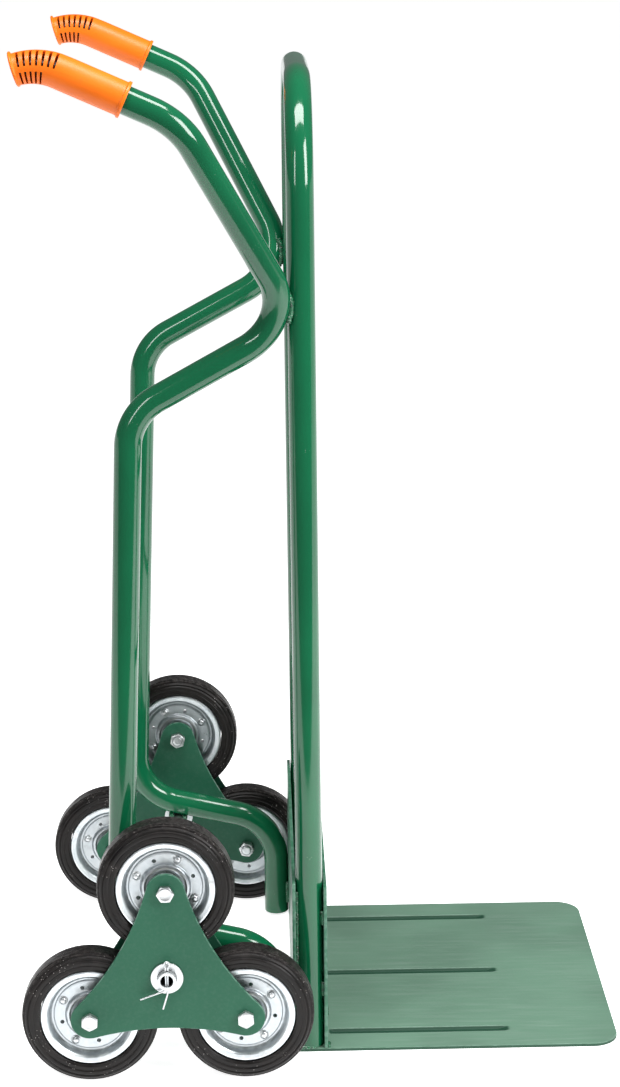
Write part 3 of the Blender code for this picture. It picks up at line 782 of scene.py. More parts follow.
def plate(name: str, outlines: Sequence[Outline], thickness: float, edge: float) -> bpy.types.Mesh:
    """A flat plate in the XZ plane, centred on Y = 0, with softened edges and support lines.

    Args:
        name: the mesh's name.
        outlines: its edge, running anticlockwise in (x, z), then its holes, running clockwise.
        thickness: its thickness.
        edge: how far its edges are softened.

    Returns:
        The mesh.
    """
    work = bmesh.new()
    half = thickness / 2
    levels = [(5 * edge, half), (2 * edge, half), (edge * 0.9, half), (edge * 0.25, half - edge * 0.25),
              (0.0, half - edge * 0.9)]
    levels += [(depth, -y) for depth, y in reversed(levels)]
    caps: dict[int, list[bmesh.types.BMEdge]] = {1: [], -1: []}
    for outline in outlines:
        rings = [[work.verts.new((x, y, z)) for x, z in inset(outline, depth)] for depth, y in levels]
        count = len(outline)
        for low, high in zip(rings, rings[1:]):
            for step in range(count):
                after = (step + 1) % count
                work.faces.new((low[step], low[after], high[after], high[step]))
        for sign, ring in ((1, rings[0]), (-1, rings[-1])):
            caps[sign] += [work.edges.get((ring[step], ring[(step + 1) % count])) for step in range(count)]
    for sign, edges in caps.items():
        bmesh.ops.triangle_fill(work, edges=edges, use_beauty=True, normal=(0, sign, 0))
    mesh = bpy.data.meshes.new(name)
    work.to_mesh(mesh)
    work.free()
    return closed_up(mesh)


def drilled(mesh: bpy.types.Mesh, cutters: Sequence[bpy.types.Mesh]) -> bpy.types.Mesh:
    """A mesh with other meshes cut out of it."""
    body = bpy.data.objects.new("body", mesh)
    bpy.context.scene.collection.objects.link(body)
    tool = bpy.data.objects.new("tool", merged("tool", cutters))
    bpy.context.scene.collection.objects.link(tool)
    step = body.modifiers.new("drill", "BOOLEAN")
    step.operation = "DIFFERENCE"
    step.object = tool
    bpy.context.view_layer.update()
    graph = bpy.context.evaluated_depsgraph_get()
    result = bpy.data.meshes.new_from_object(body.evaluated_get(graph), depsgraph=graph)
    for used in (body, tool):
        bpy.data.objects.remove(used, do_unlink=True)
    return result


def arc(centre: tuple[float, float], radius: float, first: float, last: float, steps: int) -> Outline:
    """Points on an arc, from one angle to another."""
    angles = [first + (last - first) * step / steps for step in range(steps + 1)]
    return [(centre[0] + radius * math.cos(angle), centre[1] + radius * math.sin(angle)) for angle in angles]


def smooth(share: float) -> float:
    """An S curve from 0 to 1."""
    share = min(max(share, 0.0), 1.0)
    return share * share * (3 - 2 * share)


def bead(path: Loop, radius: float, seed: int, ripple: float = 0.0026, flat: float = 1.0) -> bpy.types.Mesh:
    """A weld bead along a path, with a ripple for each puddle.

    Args:
        path: its centre line.
        radius: its mean radius.
        seed: picks its unevenness.
        ripple: the distance from one puddle to the next.
        flat: its height over its width.

    Returns:
        The mesh.
    """
    draw = random.Random(seed)
    line = stretched(path, 0.0007)
    length = sum((after - before).length for before, after in zip(line, line[1:]))
    puddles = max(2.0, length / ripple)
    swell = [draw.uniform(0.88, 1.14) for _ in range(int(puddles) + 3)]
    sway = [Vector((draw.uniform(-1, 1), draw.uniform(-1, 1), draw.uniform(-1, 1))) for _ in swell]

    def reach(share: float) -> float:
        """The bead's radius after a share of its length."""
        place = share * puddles
        lump = int(place)
        size = swell[lump] + (swell[lump + 1] - swell[lump]) * (place - lump)
        end = min(1.0, 0.25 + 3.2 * math.sqrt(max(0.0, min(share, 1 - share)) * length / 0.02))
        return radius * size * end * (0.90 + 0.16 * abs(math.sin(math.pi * place)))

    wander = []
    for number, point in enumerate(line):
        place = number / (len(line) - 1) * puddles
        wander.append(point + sway[int(place)].lerp(sway[int(place) + 1], place % 1) * radius * 0.12)
    return swept("bead", wander, reach, 12, flat)


def mark_edges(mesh: bpy.types.Mesh, seed: int, hollow: Callable[[Vector], float] | None) -> None:
    """Write on a mesh where its sharp outer edges are, where its hollows take painted shade, and its own pattern
    shift.

    Args:
        mesh: the mesh.
        seed: picks the shift.
        hollow: gives how deep in a hollow a point lies, from 0 to 1, which sets its painted shade.
    """
    depths = [hollow(vert.co) if hollow else 0.0 for vert in mesh.vertices]
    mesh.attributes.new("hollow", "FLOAT", "POINT").data.foreach_set("value", depths)
    work = bmesh.new()
    work.from_mesh(mesh)
    values = []
    for vert in work.verts:
        sharpest = max((edge.calc_face_angle_signed(0.0) for edge in vert.link_edges), default=0.0)
        values.append(min(max((math.degrees(sharpest) - 14) / 14, 0.0), 1.0))
    work.free()
    mesh.attributes.new("edge", "FLOAT", "POINT").data.foreach_set("value", values)
    draw = random.Random(seed)
    shift = [draw.uniform(-3, 3) for _ in range(3)]
    mesh.attributes.new("seed", "FLOAT_VECTOR", "POINT").data.foreach_set("vector", shift * len(mesh.vertices))


# ---- putting pieces on the truck ----
class Bench:
    """Turns meshes into finished pieces that ride on the frame's bodies."""

    def __init__(self) -> None:
        """Start with no finishes made."""
        self.materials: dict[str, bpy.types.Material] = {}
        self.count = 0

    def material(self, finish: Finish) -> bpy.types.Material:
        """A finish's material, made the first time it is asked for."""
        if finish.name not in self.materials:
            self.materials[finish.name] = finish.build()
        return self.materials[finish.name]

    def show(self, name: str, mesh: bpy.types.Mesh, finish: Finish, slot: Slot, body: str,
             nodes: Sequence[str] = (), place: Vector | None = None, sharp: float = 38.0,
             hollow: Callable[[Vector], float] | None = None) -> bpy.types.Object:
        """Put a piece in the scene.

        Args:
            name: the piece's name.
            mesh: its mesh, about its place.
            finish: its finish.
            slot: the record's slot for it; not used.
            body: the body it rides on.
            nodes: the CAD nodes that it stands for.
            place: where it stands; the origin if left out.
            sharp: the angle from which an edge is drawn sharp, in degrees.
            hollow: gives how deep in a hollow a point lies, from 0 to 1, which sets its painted shade.

        Returns:
            The piece.
        """
        mesh.name = name
        self.count += 1
        mark_edges(mesh, self.count, hollow)
        mesh.shade_smooth()
        mesh.set_sharp_from_angle(angle=math.radians(sharp))
        mesh.materials.clear()
        mesh.materials.append(self.material(finish))
        piece = bpy.data.objects.new(name, mesh)
        bpy.context.scene.collection.objects.link(piece)
        if place is not None:
            piece.location = place
        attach(piece, body)
        if nodes:
            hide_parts(*nodes)
        LOG.info("made %s on %s: %d faces", name, body, len(mesh.polygons))
        return piece


# ---- the welded frame ----
@dataclass
class BackLoop:
    """The upturned U of tube, with three bars across it.

    Attributes:
        tube_radius: the tube's outer radius.
        wall: its wall.
        corner: the centre-line radius of its two corners.
        half_spacing: from the middle of the truck to a post's centre line.
        foot: the posts' lower ends, (x, z).
        top: the loop's top centre line, (x, z).
        bar_radius: a cross bar's radius.
        bar_heights: their heights.
    """

    tube_radius: float = 0.0159
    wall: float = 0.0018
    corner: float = 0.120
    half_spacing: float = 0.197
    foot: tuple[float, float] = (-0.016525, 0.0043)
    top: tuple[float, float] = (-0.020471, 1.1541)
    bar_radius: float = 0.011
    bar_heights: tuple[float, ...] = (0.425, 0.665, 0.905)

    def post_x(self, height: float) -> float:
        """Where the posts' centre lines stand at a height."""
        slope = (self.top[0] - self.foot[0]) / (self.top[1] - self.foot[1])
        return self.foot[0] + slope * (height - self.foot[1])

    def build(self, bench: Bench) -> None:
        """Make the loop and its bars."""
        (foot_x, foot_z), (top_x, top_z) = self.foot, self.top
        corners = [Vector((foot_x, -self.half_spacing, foot_z)), Vector((top_x, -self.half_spacing, top_z)),
                   Vector((top_x, self.half_spacing, top_z)), Vector((foot_x, self.half_spacing, foot_z))]
        path = stretched(bent_path(corners, (self.corner, self.corner)), 0.06)
        mesh = tube("back_loop_tube", path, self.tube_radius, self.wall)
        bench.show("back_loop_tube", mesh, GLOSS_GREEN, Slot.GREEN_PAINT, "frame", ["back_loop"])
        for number, height in enumerate(self.bar_heights, 1):
            self.build_bar(bench, number, height)

    def build_bar(self, bench: Bench, number: int, height: float) -> None:
        """Make a bar, its ends coped to the round of the posts.

        Args:
            bench: where pieces are put on.
            number: which bar.
            height: its height.
        """
        x, sides = self.post_x(height), 40
        saddle = self.tube_radius + 0.0003
        rows = []
        for share in (-1, -0.997, -0.98, -0.6, 0, 0.6, 0.98, 0.997, 1):
            row = []
            for step in range(sides):
                angle = 2 * math.pi * step / sides
                across = self.bar_radius * math.cos(angle)
                end = self.half_spacing - math.sqrt(saddle ** 2 - across ** 2)
                row.append(Vector((x + across, share * end, height + self.bar_radius * math.sin(angle))))
            rows.append(row)
        name = "cross_bar_%d_tube" % number
        bench.show(name, loft(name, rows), GLOSS_GREEN, Slot.GREEN_PAINT, "frame", ["cross_bar_%d" % number])

    def welds(self) -> list[bpy.types.Mesh]:
        """A fillet round each end of each bar."""
        made = []
        for height in self.bar_heights:
            for side in Side:
                ring = []
                for step in range(33):
                    angle = 2 * math.pi * step / 32
                    across = (self.bar_radius + 0.0006) * math.cos(angle)
                    reach = self.half_spacing - math.sqrt((self.tube_radius + 0.0006) ** 2 - across ** 2)
                    ring.append(Vector((self.post_x(height) + across, side.value * reach,
                                        height + (self.bar_radius + 0.0006) * math.sin(angle))))
                made.append(bead(ring, 0.0021, int(height * 1000) + side.value))
        return made


@dataclass
class HandleTubes:
    """The two S-bent handle tubes.

    Attributes:
        radius: the tube's outer radius.
        wall: its wall.
        corners: the left tube's corners, from its end in the grip to its foot.
        bends: the centre-line radius at each inner corner.
    """

    radius: float = 0.0159
    wall: float = 0.0018
    corners: tuple[tuple[float, float, float], ...] = (
        (-0.271113, 0.302, 1.177689), (-0.150525, 0.302, 1.124), (-0.025903, 0.200, 0.889),
        (-0.217525, 0.206, 0.784), (-0.240525, 0.206, 0.173354), (-0.053660, 0.206, 0.130213),
        (-0.053660, 0.206, 0.003))
    bends: tuple[float, ...] = (0.085, 0.066, 0.066, 0.066, 0.066)

    def path(self) -> Loop:
        """The left tube's centre line."""
        return stretched(bent_path([Vector(corner) for corner in self.corners], self.bends), 0.05)

    def build(self, bench: Bench) -> None:
        """Make both tubes."""
        for side in Side:
            name = "handle_tube_%s_bent" % side.word
            mesh = tube(name, [side.mirror(point) for point in self.path()], self.radius, self.wall)
            bench.show(name, mesh, GLOSS_GREEN, Slot.GREEN_PAINT, "frame", ["handle_tube_" + side.word])


@dataclass
class Welds:
    """The weld beads that hold the frame together.

    Attributes:
        loop: the back loop.
        handles: the handle tubes.
        axle: the axle's centre line, (x, z).
        axle_radius: the axle's radius.
        rear_plate: the rear plate's back face, x.
        front_plate: the front plate's (back face, front face), x.
        shelf_top: the top of the toe plate, z.
    """

    loop: BackLoop
    handles: HandleTubes
    axle: tuple[float, float]
    axle_radius: float
    rear_plate: float
    front_plate: tuple[float, float]
    shelf_top: float

    def knee(self, side: Side) -> list[bpy.types.Mesh]:
        """Two upright beads where a handle's knee meets its post."""
        upper = [point for point in self.handles.path() if point.z > 0.80]

        def gap(point: Vector) -> float:
            """How far a point of the handle's centre line is from the post's."""
            return (point.xy - Vector((self.loop.post_x(point.z), self.loop.half_spacing))).length

        near = min(upper, key=gap)
        post = Vector((self.loop.post_x(near.z), self.loop.half_spacing, near.z))
        towards = (post - near).normalized()
        beside = Vector((-towards.y, towards.x, 0))
        if beside.y < 0:
            beside = -beside
        made = []
        for number, offset in enumerate((0.0066, -0.0066)):
            middle = (near + post) / 2 + beside * offset
            line = [middle + Vector((0, 0, rise)) - towards * 0.9 * rise ** 2 / 0.066
                    for rise in (-0.018, -0.009, 0.0, 0.009, 0.018)]
            made.append(bead([side.mirror(point) for point in line], 0.0036, 40 + number + side.value))
        return made

    def run(self, side: Side) -> list[bpy.types.Mesh]:
        """Beads in front of and behind the place where a handle's lower run crosses the axle."""
        made = []
        leg_y = self.handles.corners[-1][1]
        for number, ahead in enumerate((-0.0088, 0.0082)):
            drop = -ahead * math.tan(math.radians(13))
            height = self.axle[1] + self.axle_radius - 0.0012 + drop
            line = [Vector((self.axle[0] + ahead, leg_y + across, height - 14 * across ** 2))
                    for across in (-0.0115, -0.006, 0.0, 0.006, 0.0115)]
            made.append(bead([side.mirror(point) for point in line], 0.0034, 60 + number + side.value))
        return made

    def foot(self, side: Side) -> list[bpy.types.Mesh]:
        """Beads that join a handle's upright foot to the rear plate."""
        made = []
        x, leg_y, _ = self.handles.corners[-1]
        for number, (across, low, high) in enumerate(((-0.0084, 0.016, 0.046), (0.0060, 0.016, 0.046))):
            touch = x + math.sqrt(self.handles.radius ** 2 - across ** 2)
            middle = (touch + self.rear_plate) / 2
            line = [Vector((middle, leg_y + across, height)) for height in (low, high)]
            made.append(bead([side.mirror(point) for point in line], 0.0026, 80 + number + side.value))
        return made

    def posts(self, side: Side) -> list[bpy.types.Mesh]:
        """Short stitches between a post and the two upright plates, and round its foot."""
        made = []
        half, radius = self.loop.half_spacing, self.loop.tube_radius
        for number, height in enumerate((0.078, 0.168)):
            for across in (-0.0078, 0.0085):
                x = self.front_plate[0] - 0.0012
                line = [Vector((x, half + across, height + rise)) for rise in (-0.009, 0.009)]
                made.append(bead([side.mirror(point) for point in line], 0.0027, 100 + number + side.value))
        rear = self.rear_plate + 0.004
        line = [Vector((rear + 0.0014, half + 0.0082, height)) for height in (0.014, 0.202)]
        made.append(bead([side.mirror(point) for point in line], 0.0021, 120 + side.value))
        ring = []
        for degrees in range(75, 290, 10):
            angle = math.radians(degrees)
            ring.append(Vector((self.loop.foot[0] + (radius + 0.0007) * math.cos(angle),
                                half + (radius + 0.0007) * math.sin(angle) * 0.93, self.shelf_top + 0.0012)))
        ring = [point for point in ring if point.x > rear + 0.002]
        made.append(bead([side.mirror(point) for point in ring], 0.0019, 140 + side.value))
        return made

    def shelf(self) -> list[bpy.types.Mesh]:
        """Stitches along the foot of the front plate."""
        made = []
        for number, middle in enumerate((-0.206, -0.110, 0.0, 0.110, 0.206)):
            reach = 0.0055 if abs(middle) > 0.2 else 0.014
            x = self.front_plate[1] + 0.0008
            line = [Vector((x, middle + across, self.shelf_top + 0.0012)) for across in (-reach, reach)]
            made.append(bead(line, 0.0026, 160 + number))
        return made

    def build(self, bench: Bench) -> None:
        """Make all the frame's welds as one piece."""
        beads = self.loop.welds() + self.shelf()
        for side in Side:
            beads += self.knee(side) + self.run(side) + self.foot(side) + self.posts(side)
        bench.show("frame_welds", merged("frame_welds", beads), WELD_GREEN, Slot.GREEN_PAINT, "frame", sharp=70)


@dataclass
class Grips:
    """The moulded grips, open at the collar and slit at the bent tip.

    Attributes:
        neck: the left tube's last bend.
        neck_length: from there to the collar.
        rise: how steeply the tube climbs into the grip, in radians.
        barrel: the barrel's radius.
        straight: the length of the straight part.
        tip_bend: the centre-line radius of the tip's bend.
        tip_turn: how far the tip bends, in radians.
        taper: how much slimmer the tip is.
        collar: the collar's (length, step).
        disc: the end disc's (length, step).
        disc_rise: how far the end disc stands up out of line.
        bore: the (radius, depth) of the hole for the tube.
        slit: a slit's (width, depth, pitch).
        upper: the upper slits' (count, first angle, last angle) from the top, in degrees.
        lower: the lower slits' (count, first angle, last angle).
    """

    neck: tuple[float, float, float] = (-0.150525, 0.302, 1.124)
    neck_length: float = 0.062
    rise: float = math.radians(24)
    barrel: float = 0.0192
    straight: float = 0.075
    tip_bend: float = 0.070
    tip_turn: float = math.radians(40)
    taper: float = 0.0017
    collar: tuple[float, float] = (0.0035, 0.0017)
    disc: tuple[float, float] = (0.0028, 0.0003)
    disc_rise: float = 0.0008
    bore: tuple[float, float] = (0.0162, 0.0703)
    slit: tuple[float, float, float] = (0.0021, 0.0085, 0.0060)
    upper: tuple[int, float, float] = (7, 13.0, 80.0)
    lower: tuple[int, float, float] = (5, 102.0, 160.0)

    @property
    def tip(self) -> float:
        """How far the tip's end lies from the collar's face, along the grip."""
        return self.straight + self.tip_bend * self.tip_turn

    def centre(self, distance: float) -> tuple[Vector, Vector]:
        """The left grip's centre line.

        Args:
            distance: how far along it, from the collar's face.

        Returns:
            The place, and the direction across the grip that points up.
        """
        along = Vector((-math.cos(self.rise), 0, math.sin(self.rise)))
        up = Vector((math.sin(self.rise), 0, math.cos(self.rise)))
        angle = min(max(distance - self.straight, 0.0) / self.tip_bend, self.tip_turn)
        place = Vector(self.neck) + along * self.neck_length
        place += along * (min(distance, self.straight) + self.tip_bend * math.sin(angle))
        place -= up * self.tip_bend * (1 - math.cos(angle))
        tangent = along * math.cos(angle) - up * math.sin(angle)
        place += tangent * max(distance - self.tip, 0.0)
        return place, along * math.sin(angle) + up * math.cos(angle)

    def radius(self, distance: float) -> float:
        """The barrel's radius at a distance from the collar's face."""
        share = min(max((distance - self.straight) / (self.tip - self.straight), 0.0), 1.0)
        return self.barrel - self.taper * share

    def angles(self) -> list[float]:
        """Angles round the grip, with a pair of lines at each end of a slit, in degrees."""
        marks = {float(angle) for angle in range(0, 360, 6)}
        for _, first, last in (self.upper, self.lower):
            marks = {mark for mark in marks if min(abs(mark - first), abs(mark - last)) > 2.5}
            marks = {mark for mark in marks if min(abs(360 - mark - first), abs(360 - mark - last)) > 2.5}
            for edge in (first - 1, first + 1, last - 1, last + 1):
                marks |= {edge, 360.0 - edge}
        return sorted(marks)

    def slit_depth(self, distance: float, degrees: float) -> float:
        """How far the surface is sunk at a place.

        Args:
            distance: along the grip.
            degrees: round it, from the top.

        Returns:
            The depth.
        """
        width, depth, pitch = self.slit
        turn = min(degrees, 360 - degrees)
        for count, first, last in (self.upper, self.lower):
            if first + 0.5 < turn < last - 0.5:
                for number in range(count):
                    middle = self.tip - 0.0058 - number * pitch
                    if abs(distance - middle) < width / 2 - 0.0001:
                        return depth
        return 0.0

    def stations(self) -> list[tuple[float, float, bool]]:
        """Places along the outside as (distance, radius, may be slit)."""
        collar_length, collar_step = self.collar
        disc_length, disc_step = self.disc
        high = self.barrel + collar_step
        rows = [(0.0, high - 0.0006, False), (0.0002, high - 0.0002, False), (0.0006, high, False)]
        rows += [(collar_length - 0.0006, high, False), (collar_length - 0.0002, high - 0.0002, False),
                 (collar_length, high - 0.0006, False), (collar_length + 0.0004, self.barrel + 0.0003, False),
                 (collar_length + 0.0012, self.barrel, False)]
        marks = {collar_length + 0.004 + 0.006 * number for number in range(11)}
        width, _, pitch = self.slit
        for number in range(self.upper[0]):
            middle = self.tip - 0.0058 - number * pitch
            marks |= {middle + offset for offset in (
                -width / 2 - 0.0009, -width / 2 - 0.0002, -width / 2 + 0.0002, 0.0,
                width / 2 - 0.0002, width / 2 + 0.0002, width / 2 + 0.0009)}
        marks.add(self.tip - 0.0012)
        rows += [(mark, self.radius(mark), True) for mark in sorted(marks)]
        end, low = self.barrel + disc_step, self.radius(self.tip)
        rows += [(self.tip - 0.0004, low + 0.0004, False), (self.tip, end - 0.0008, False),
                 (self.tip + 0.0003, end - 0.0002, False), (self.tip + 0.0009, end, False),
                 (self.tip + disc_length - 0.0007, end - 0.0001, False),
                 (self.tip + disc_length - 0.0001, end - 0.0009, False),
                 (self.tip + disc_length, end - 0.0026, False),
                 (self.tip + disc_length - 0.0006, end - 0.0036, False),
                 (self.tip + disc_length - 0.0006, end * 0.4, False)]
        return rows

    def ring(self, side: Side, distance: float, radius: float, slit: bool) -> Loop:
        """The points round the grip at a distance.

        Args:
            side: which grip.
            distance: along it.
            radius: its radius there.
            slit: whether slits sink it.

        Returns:
            The ring.
        """
        place, up = self.centre(distance)
        place += up * self.disc_rise * smooth((distance - self.tip + 0.0004) / 0.0004)
        points = []
        for degrees in self.angles():
            reach = radius - (self.slit_depth(distance, degrees) if slit else 0.0)
            turn = math.radians(degrees)
            points.append(side.mirror(place + up * reach * math.cos(turn)
                                      + Vector((0, reach * math.sin(turn), 0))))
        return points

    def sunk(self, point: Vector) -> float:
        """Painted shade for the slits: 1 where a point of the tip lies deep in a slit, and 0 on its face."""
        steps = 24
        place = Vector((point.x, abs(point.y), point.z))
        line = [self.centre(self.straight * 0.8 + (self.tip - self.straight * 0.8) * step / steps)[0]
                for step in range(steps + 1)]
        reach = min((place - middle).length for middle in line)
        return 1.0 if reach < self.barrel - self.taper - 0.0020 else 0.0

    def build(self, bench: Bench) -> None:
        """Make both grips."""
        bore_radius, bore_depth = self.bore
        for side in Side:
            rows = [self.ring(side, bore_depth, bore_radius, False)]
            rows += [self.ring(side, depth, bore_radius, False) for depth in (0.05, 0.02, 0.001)]
            rows.append(self.ring(side, 0.0, bore_radius + 0.0006, False))
            rows += [self.ring(side, *station) for station in self.stations()]
            name = "grip_%s_moulding" % side.word
            # Painted shade darkens the slits' floors, through self.sunk.
            bench.show(name, loft(name, rows), ORANGE_GRIP, Slot.ORANGE, "frame",
                       ["grip_" + side.word], sharp=50, hollow=self.sunk)


# ---- the shelf ----
@dataclass
class Shelf:
    """The toe plate with its pressed channels, and the two upright plates.

    Attributes:
        back: the toe plate's back edge, x.
        front: its front edge, x.
        half_width: half its width.
        low: its underside, z.
        thickness: the plates' thickness.
        corner: the radius of its front corners.
        lanes: the channels' middles, y.
        channel: a channel's (half width, depth).
        run: a channel's (start, full depth, fading, end), x.
        uprights: the front and rear plates' (node, back face x, height).
    """

    back: float
    front: float
    half_width: float
    low: float
    thickness: float
    corner: float
    lanes: tuple[float, ...]
    channel: tuple[float, float]
    run: tuple[float, float, float, float]
    uprights: tuple[tuple[str, float, float], ...]

    def sink(self, x: float, y: float) -> float:
        """How far the channels lower the sheet at a place."""
        half, depth = self.channel
        start, full, fading, end = self.run
        length = smooth((x - start) / (full - start)) * (1 - smooth((x - fading) / (end - fading)))
        return max(depth * length * (1 - smooth((abs(y - lane) - 0.55 * half) / (0.45 * half)))
                   for lane in self.lanes)

    def columns(self) -> list[float]:
        """Where the sheet's points lie across it."""
        half = self.channel[0]
        marks = {-self.half_width + 0.0012, self.half_width - 0.0012, -self.half_width + 0.004,
                 self.half_width - 0.004}
        for lane in self.lanes:
            marks |= {lane + half * step / 12 for step in range(-13, 14)}
        for number in range(-7, 8):
            mark = number * self.half_width / 8
            if all(abs(mark - lane) > 1.4 * half for lane in self.lanes):
                marks.add(mark)
        return sorted(marks)

    def build_toe_plate(self, bench: Bench) -> None:
        """Make the toe plate as a pressed sheet."""
        start, full, fading, end = self.run
        edge = 0.0007
        stations = {self.back + 0.001, self.back + 0.004, start}
        stations |= {start + (full - start) * step / 6 for step in range(7)}
        stations |= {fading + (end - fading) * step / 14 for step in range(15)}
        stations |= {full + (fading - full) * step / 8 for step in range(9)}
        bend = self.front - self.corner
        stations |= {end + (bend - end) * step / 6 for step in range(7)}
        stations |= {bend + self.corner * math.sin(math.radians(step * 5)) for step in range(17)}
        stations |= {self.front - 0.00035}
        rows = [self.section(self.back, edge * 0.8), self.section(self.back + edge * 0.3, edge * 0.25)]
        rows += [self.section(x, 0.0) for x in sorted(stations) if x < self.front - 0.0003]
        rows += [self.section(self.front - 0.0001, edge * 0.25), self.section(self.front, edge * 0.8)]
        # Painted shade darkens the channels' +Y walls and the sheet's rim.
        bench.show("toe_plate_sheet", loft("toe_plate_sheet", rows), SHELF_GREEN, Slot.GREEN_PLATE, "frame",
                   ["toe_plate"], hollow=self.painted_shelf_shade)

    def painted_shelf_shade(self, point: Vector) -> float:
        """How much painted shade darkens a point: 1 down the +Y wall of a channel and on the sheet's rim."""
        half, depth = self.channel
        sunk = self.sink(point.x, point.y)
        if point.z < self.low + self.thickness - sunk - 0.0006:
            return 0.95
        lane = min(self.lanes, key=lambda middle: abs(point.y - middle))
        return smooth((point.y - lane + 0.60 * half) / (0.2 * half)) * smooth(4.0 * sunk / depth)

    def section(self, x: float, thin: float) -> Loop:
        """The sheet's outline across the truck at one place.

        Args:
            x: the place.
            thin: how much its edge is softened there.

        Returns:
            The points, top first.
        """
        into = max(0.0, x - (self.front - self.corner))
        half = self.half_width - self.corner + math.sqrt(max(self.corner ** 2 - into ** 2, 0.0))
        scale = half / self.half_width
        top, low, edge = self.low + self.thickness - thin, self.low + thin, 0.0007
        upper = [Vector((x, y * scale, top - self.sink(x, y))) for y in self.columns()]
        lower = [Vector((x, y * scale, low)) for y in reversed(self.columns())]
        right = [Vector((x, half - edge * 0.3, top - edge * 0.25)), Vector((x, half, top - edge)),
                 Vector((x, half, low + edge)), Vector((x, half - edge * 0.3, low + edge * 0.25))]
        left = [Vector((point.x, -point.y, point.z)) for point in reversed(right)]
        return upper + right + lower + left

    def build_uprights(self, bench: Bench) -> None:
        """Make the two upright plates."""
        foot = self.low + self.thickness + 0.0003
        for node, x, height in self.uprights:
            half = self.half_width
            outline = rounded([(-half, foot, 0.0012), (half, foot, 0.0012), (half, height, 0.002),
                               (-half, height, 0.002)])
            name = node + "_sheet"
            mesh = plate(name, [outline], self.thickness, 0.0006)
            mesh.transform(Matrix.Translation((x + self.thickness / 2, 0, 0))
                           @ Matrix.Rotation(math.radians(90), 4, "Z"))
            bench.show(name, closed_up(mesh), PLATE_GREEN, Slot.GREEN_PAINT, "frame", [node])

    def build(self, bench: Bench) -> None:
        """Make the three plates."""
        self.build_toe_plate(bench)
        self.build_uprights(bench)


# ---- axle and fasteners ----
@dataclass
class Axle:
    """The hollow axle, its washers and its split pins.

    Attributes:
        centre: the axle's middle.
        radius: its radius.
        wall: its wall.
        half_length: from the middle to its end.
        pin_y: where the split pins are.
        pin_hole: the radius of their holes.
        washer: a washer's (radius, thickness).
        washers: the (name, y) of the washers on the left.
        wire: the split pin's wire radius.
    """

    centre: Vector
    radius: float = 0.011
    wall: float = 0.0035
    half_length: float = 0.2966
    pin_y: float = 0.2921
    pin_hole: float = 0.0027
    washer: tuple[float, float] = (0.019, 0.002)
    washers: tuple[tuple[str, float], ...] = (("inner", 0.2235), ("outer", 0.2866))
    wire: float = 0.0011

    def build_shaft(self, bench: Bench) -> None:
        """Make the hollow axle, chamfered and drilled across at each end."""
        end, bore = self.half_length, self.radius - self.wall
        profile = rounded([(self.radius, end, 0.0009), (self.radius, -end, 0.0009), (bore, -end, 0.0005),
                           (bore, end, 0.0005)])
        drills = []
        for side in Side:
            hole = loft("drill", [circle(self.pin_hole, y, 20) for y in (-0.02, 0.02)])
            hole.transform(Matrix.Translation((0, side.value * self.pin_y, 0))
                           @ Matrix.Rotation(math.radians(90), 4, "X"))
            drills.append(hole)
        mesh = drilled(turned("axle_tube", profile, 48), drills)
        bench.show("axle_tube", mesh, BRIGHT_ZINC, Slot.ZINC, "frame", ["axle"], self.centre)

    def build_washers(self, bench: Bench) -> None:
        """Make the washers beside the stars."""
        radius, thickness = self.washer
        half, bore = thickness / 2, self.radius + 0.0005
        profile = rounded([(radius, half, 0.0004), (radius, -half, 0.0006), (bore, -half, 0.0003),
                           (bore, half, 0.0003)])
        for side in Side:
            for which, y in self.washers:
                name = "%s_washer_%s" % (which, side.word)
                place = self.centre + Vector((0, side.value * y, 0))
                bench.show(name + "_ring", turned(name, profile, 56), BRIGHT_ZINC, Slot.ZINC, "frame", [name],
                           place)

    def pin_line(self) -> Loop:
        """The split pin's wire, from the end of one leg to the end of the other."""
        apart, under = self.wire + 0.00015, -self.radius - 0.0015
        eye, top = 0.0033, self.radius + 0.0050 + 0.0033
        points = [(-apart - 0.0300, under - 0.0112), (-apart - 2 * self.wire, under - self.wire)]
        points += [(-apart, under + self.wire), (-apart, self.radius)]
        points += arc((0, top), eye, math.radians(248), math.radians(-68), 24)
        points += [(apart, self.radius), (apart, under + self.wire), (apart, under - 2 * self.wire)]
        points.append((apart - 0.0063, under - 0.0235))
        return stretched([Vector((x, 0, z)) for x, z in points], 0.0012)

    def build_pins(self, bench: Bench) -> None:
        """Make the split pins, their wire eased at the bends."""
        line = self.pin_line()
        for _ in range(3):
            middle = [(before + here * 2 + after) / 4 for before, here, after in zip(line, line[1:], line[2:])]
            line = [line[0]] + middle + [line[-1]]
        for side in Side:
            name = "split_pin_%s" % side.word
            place = self.centre + Vector((0, side.value * self.pin_y, 0))
            bench.show(name + "_wire", swept(name, line, self.wire, 14), BRIGHT_ZINC, Slot.ZINC, "frame",
                       [name], place)

    def build(self, bench: Bench) -> None:
        """Make the axle and its fittings."""
        self.build_shaft(bench)
        self.build_washers(bench)
        self.build_pins(bench)


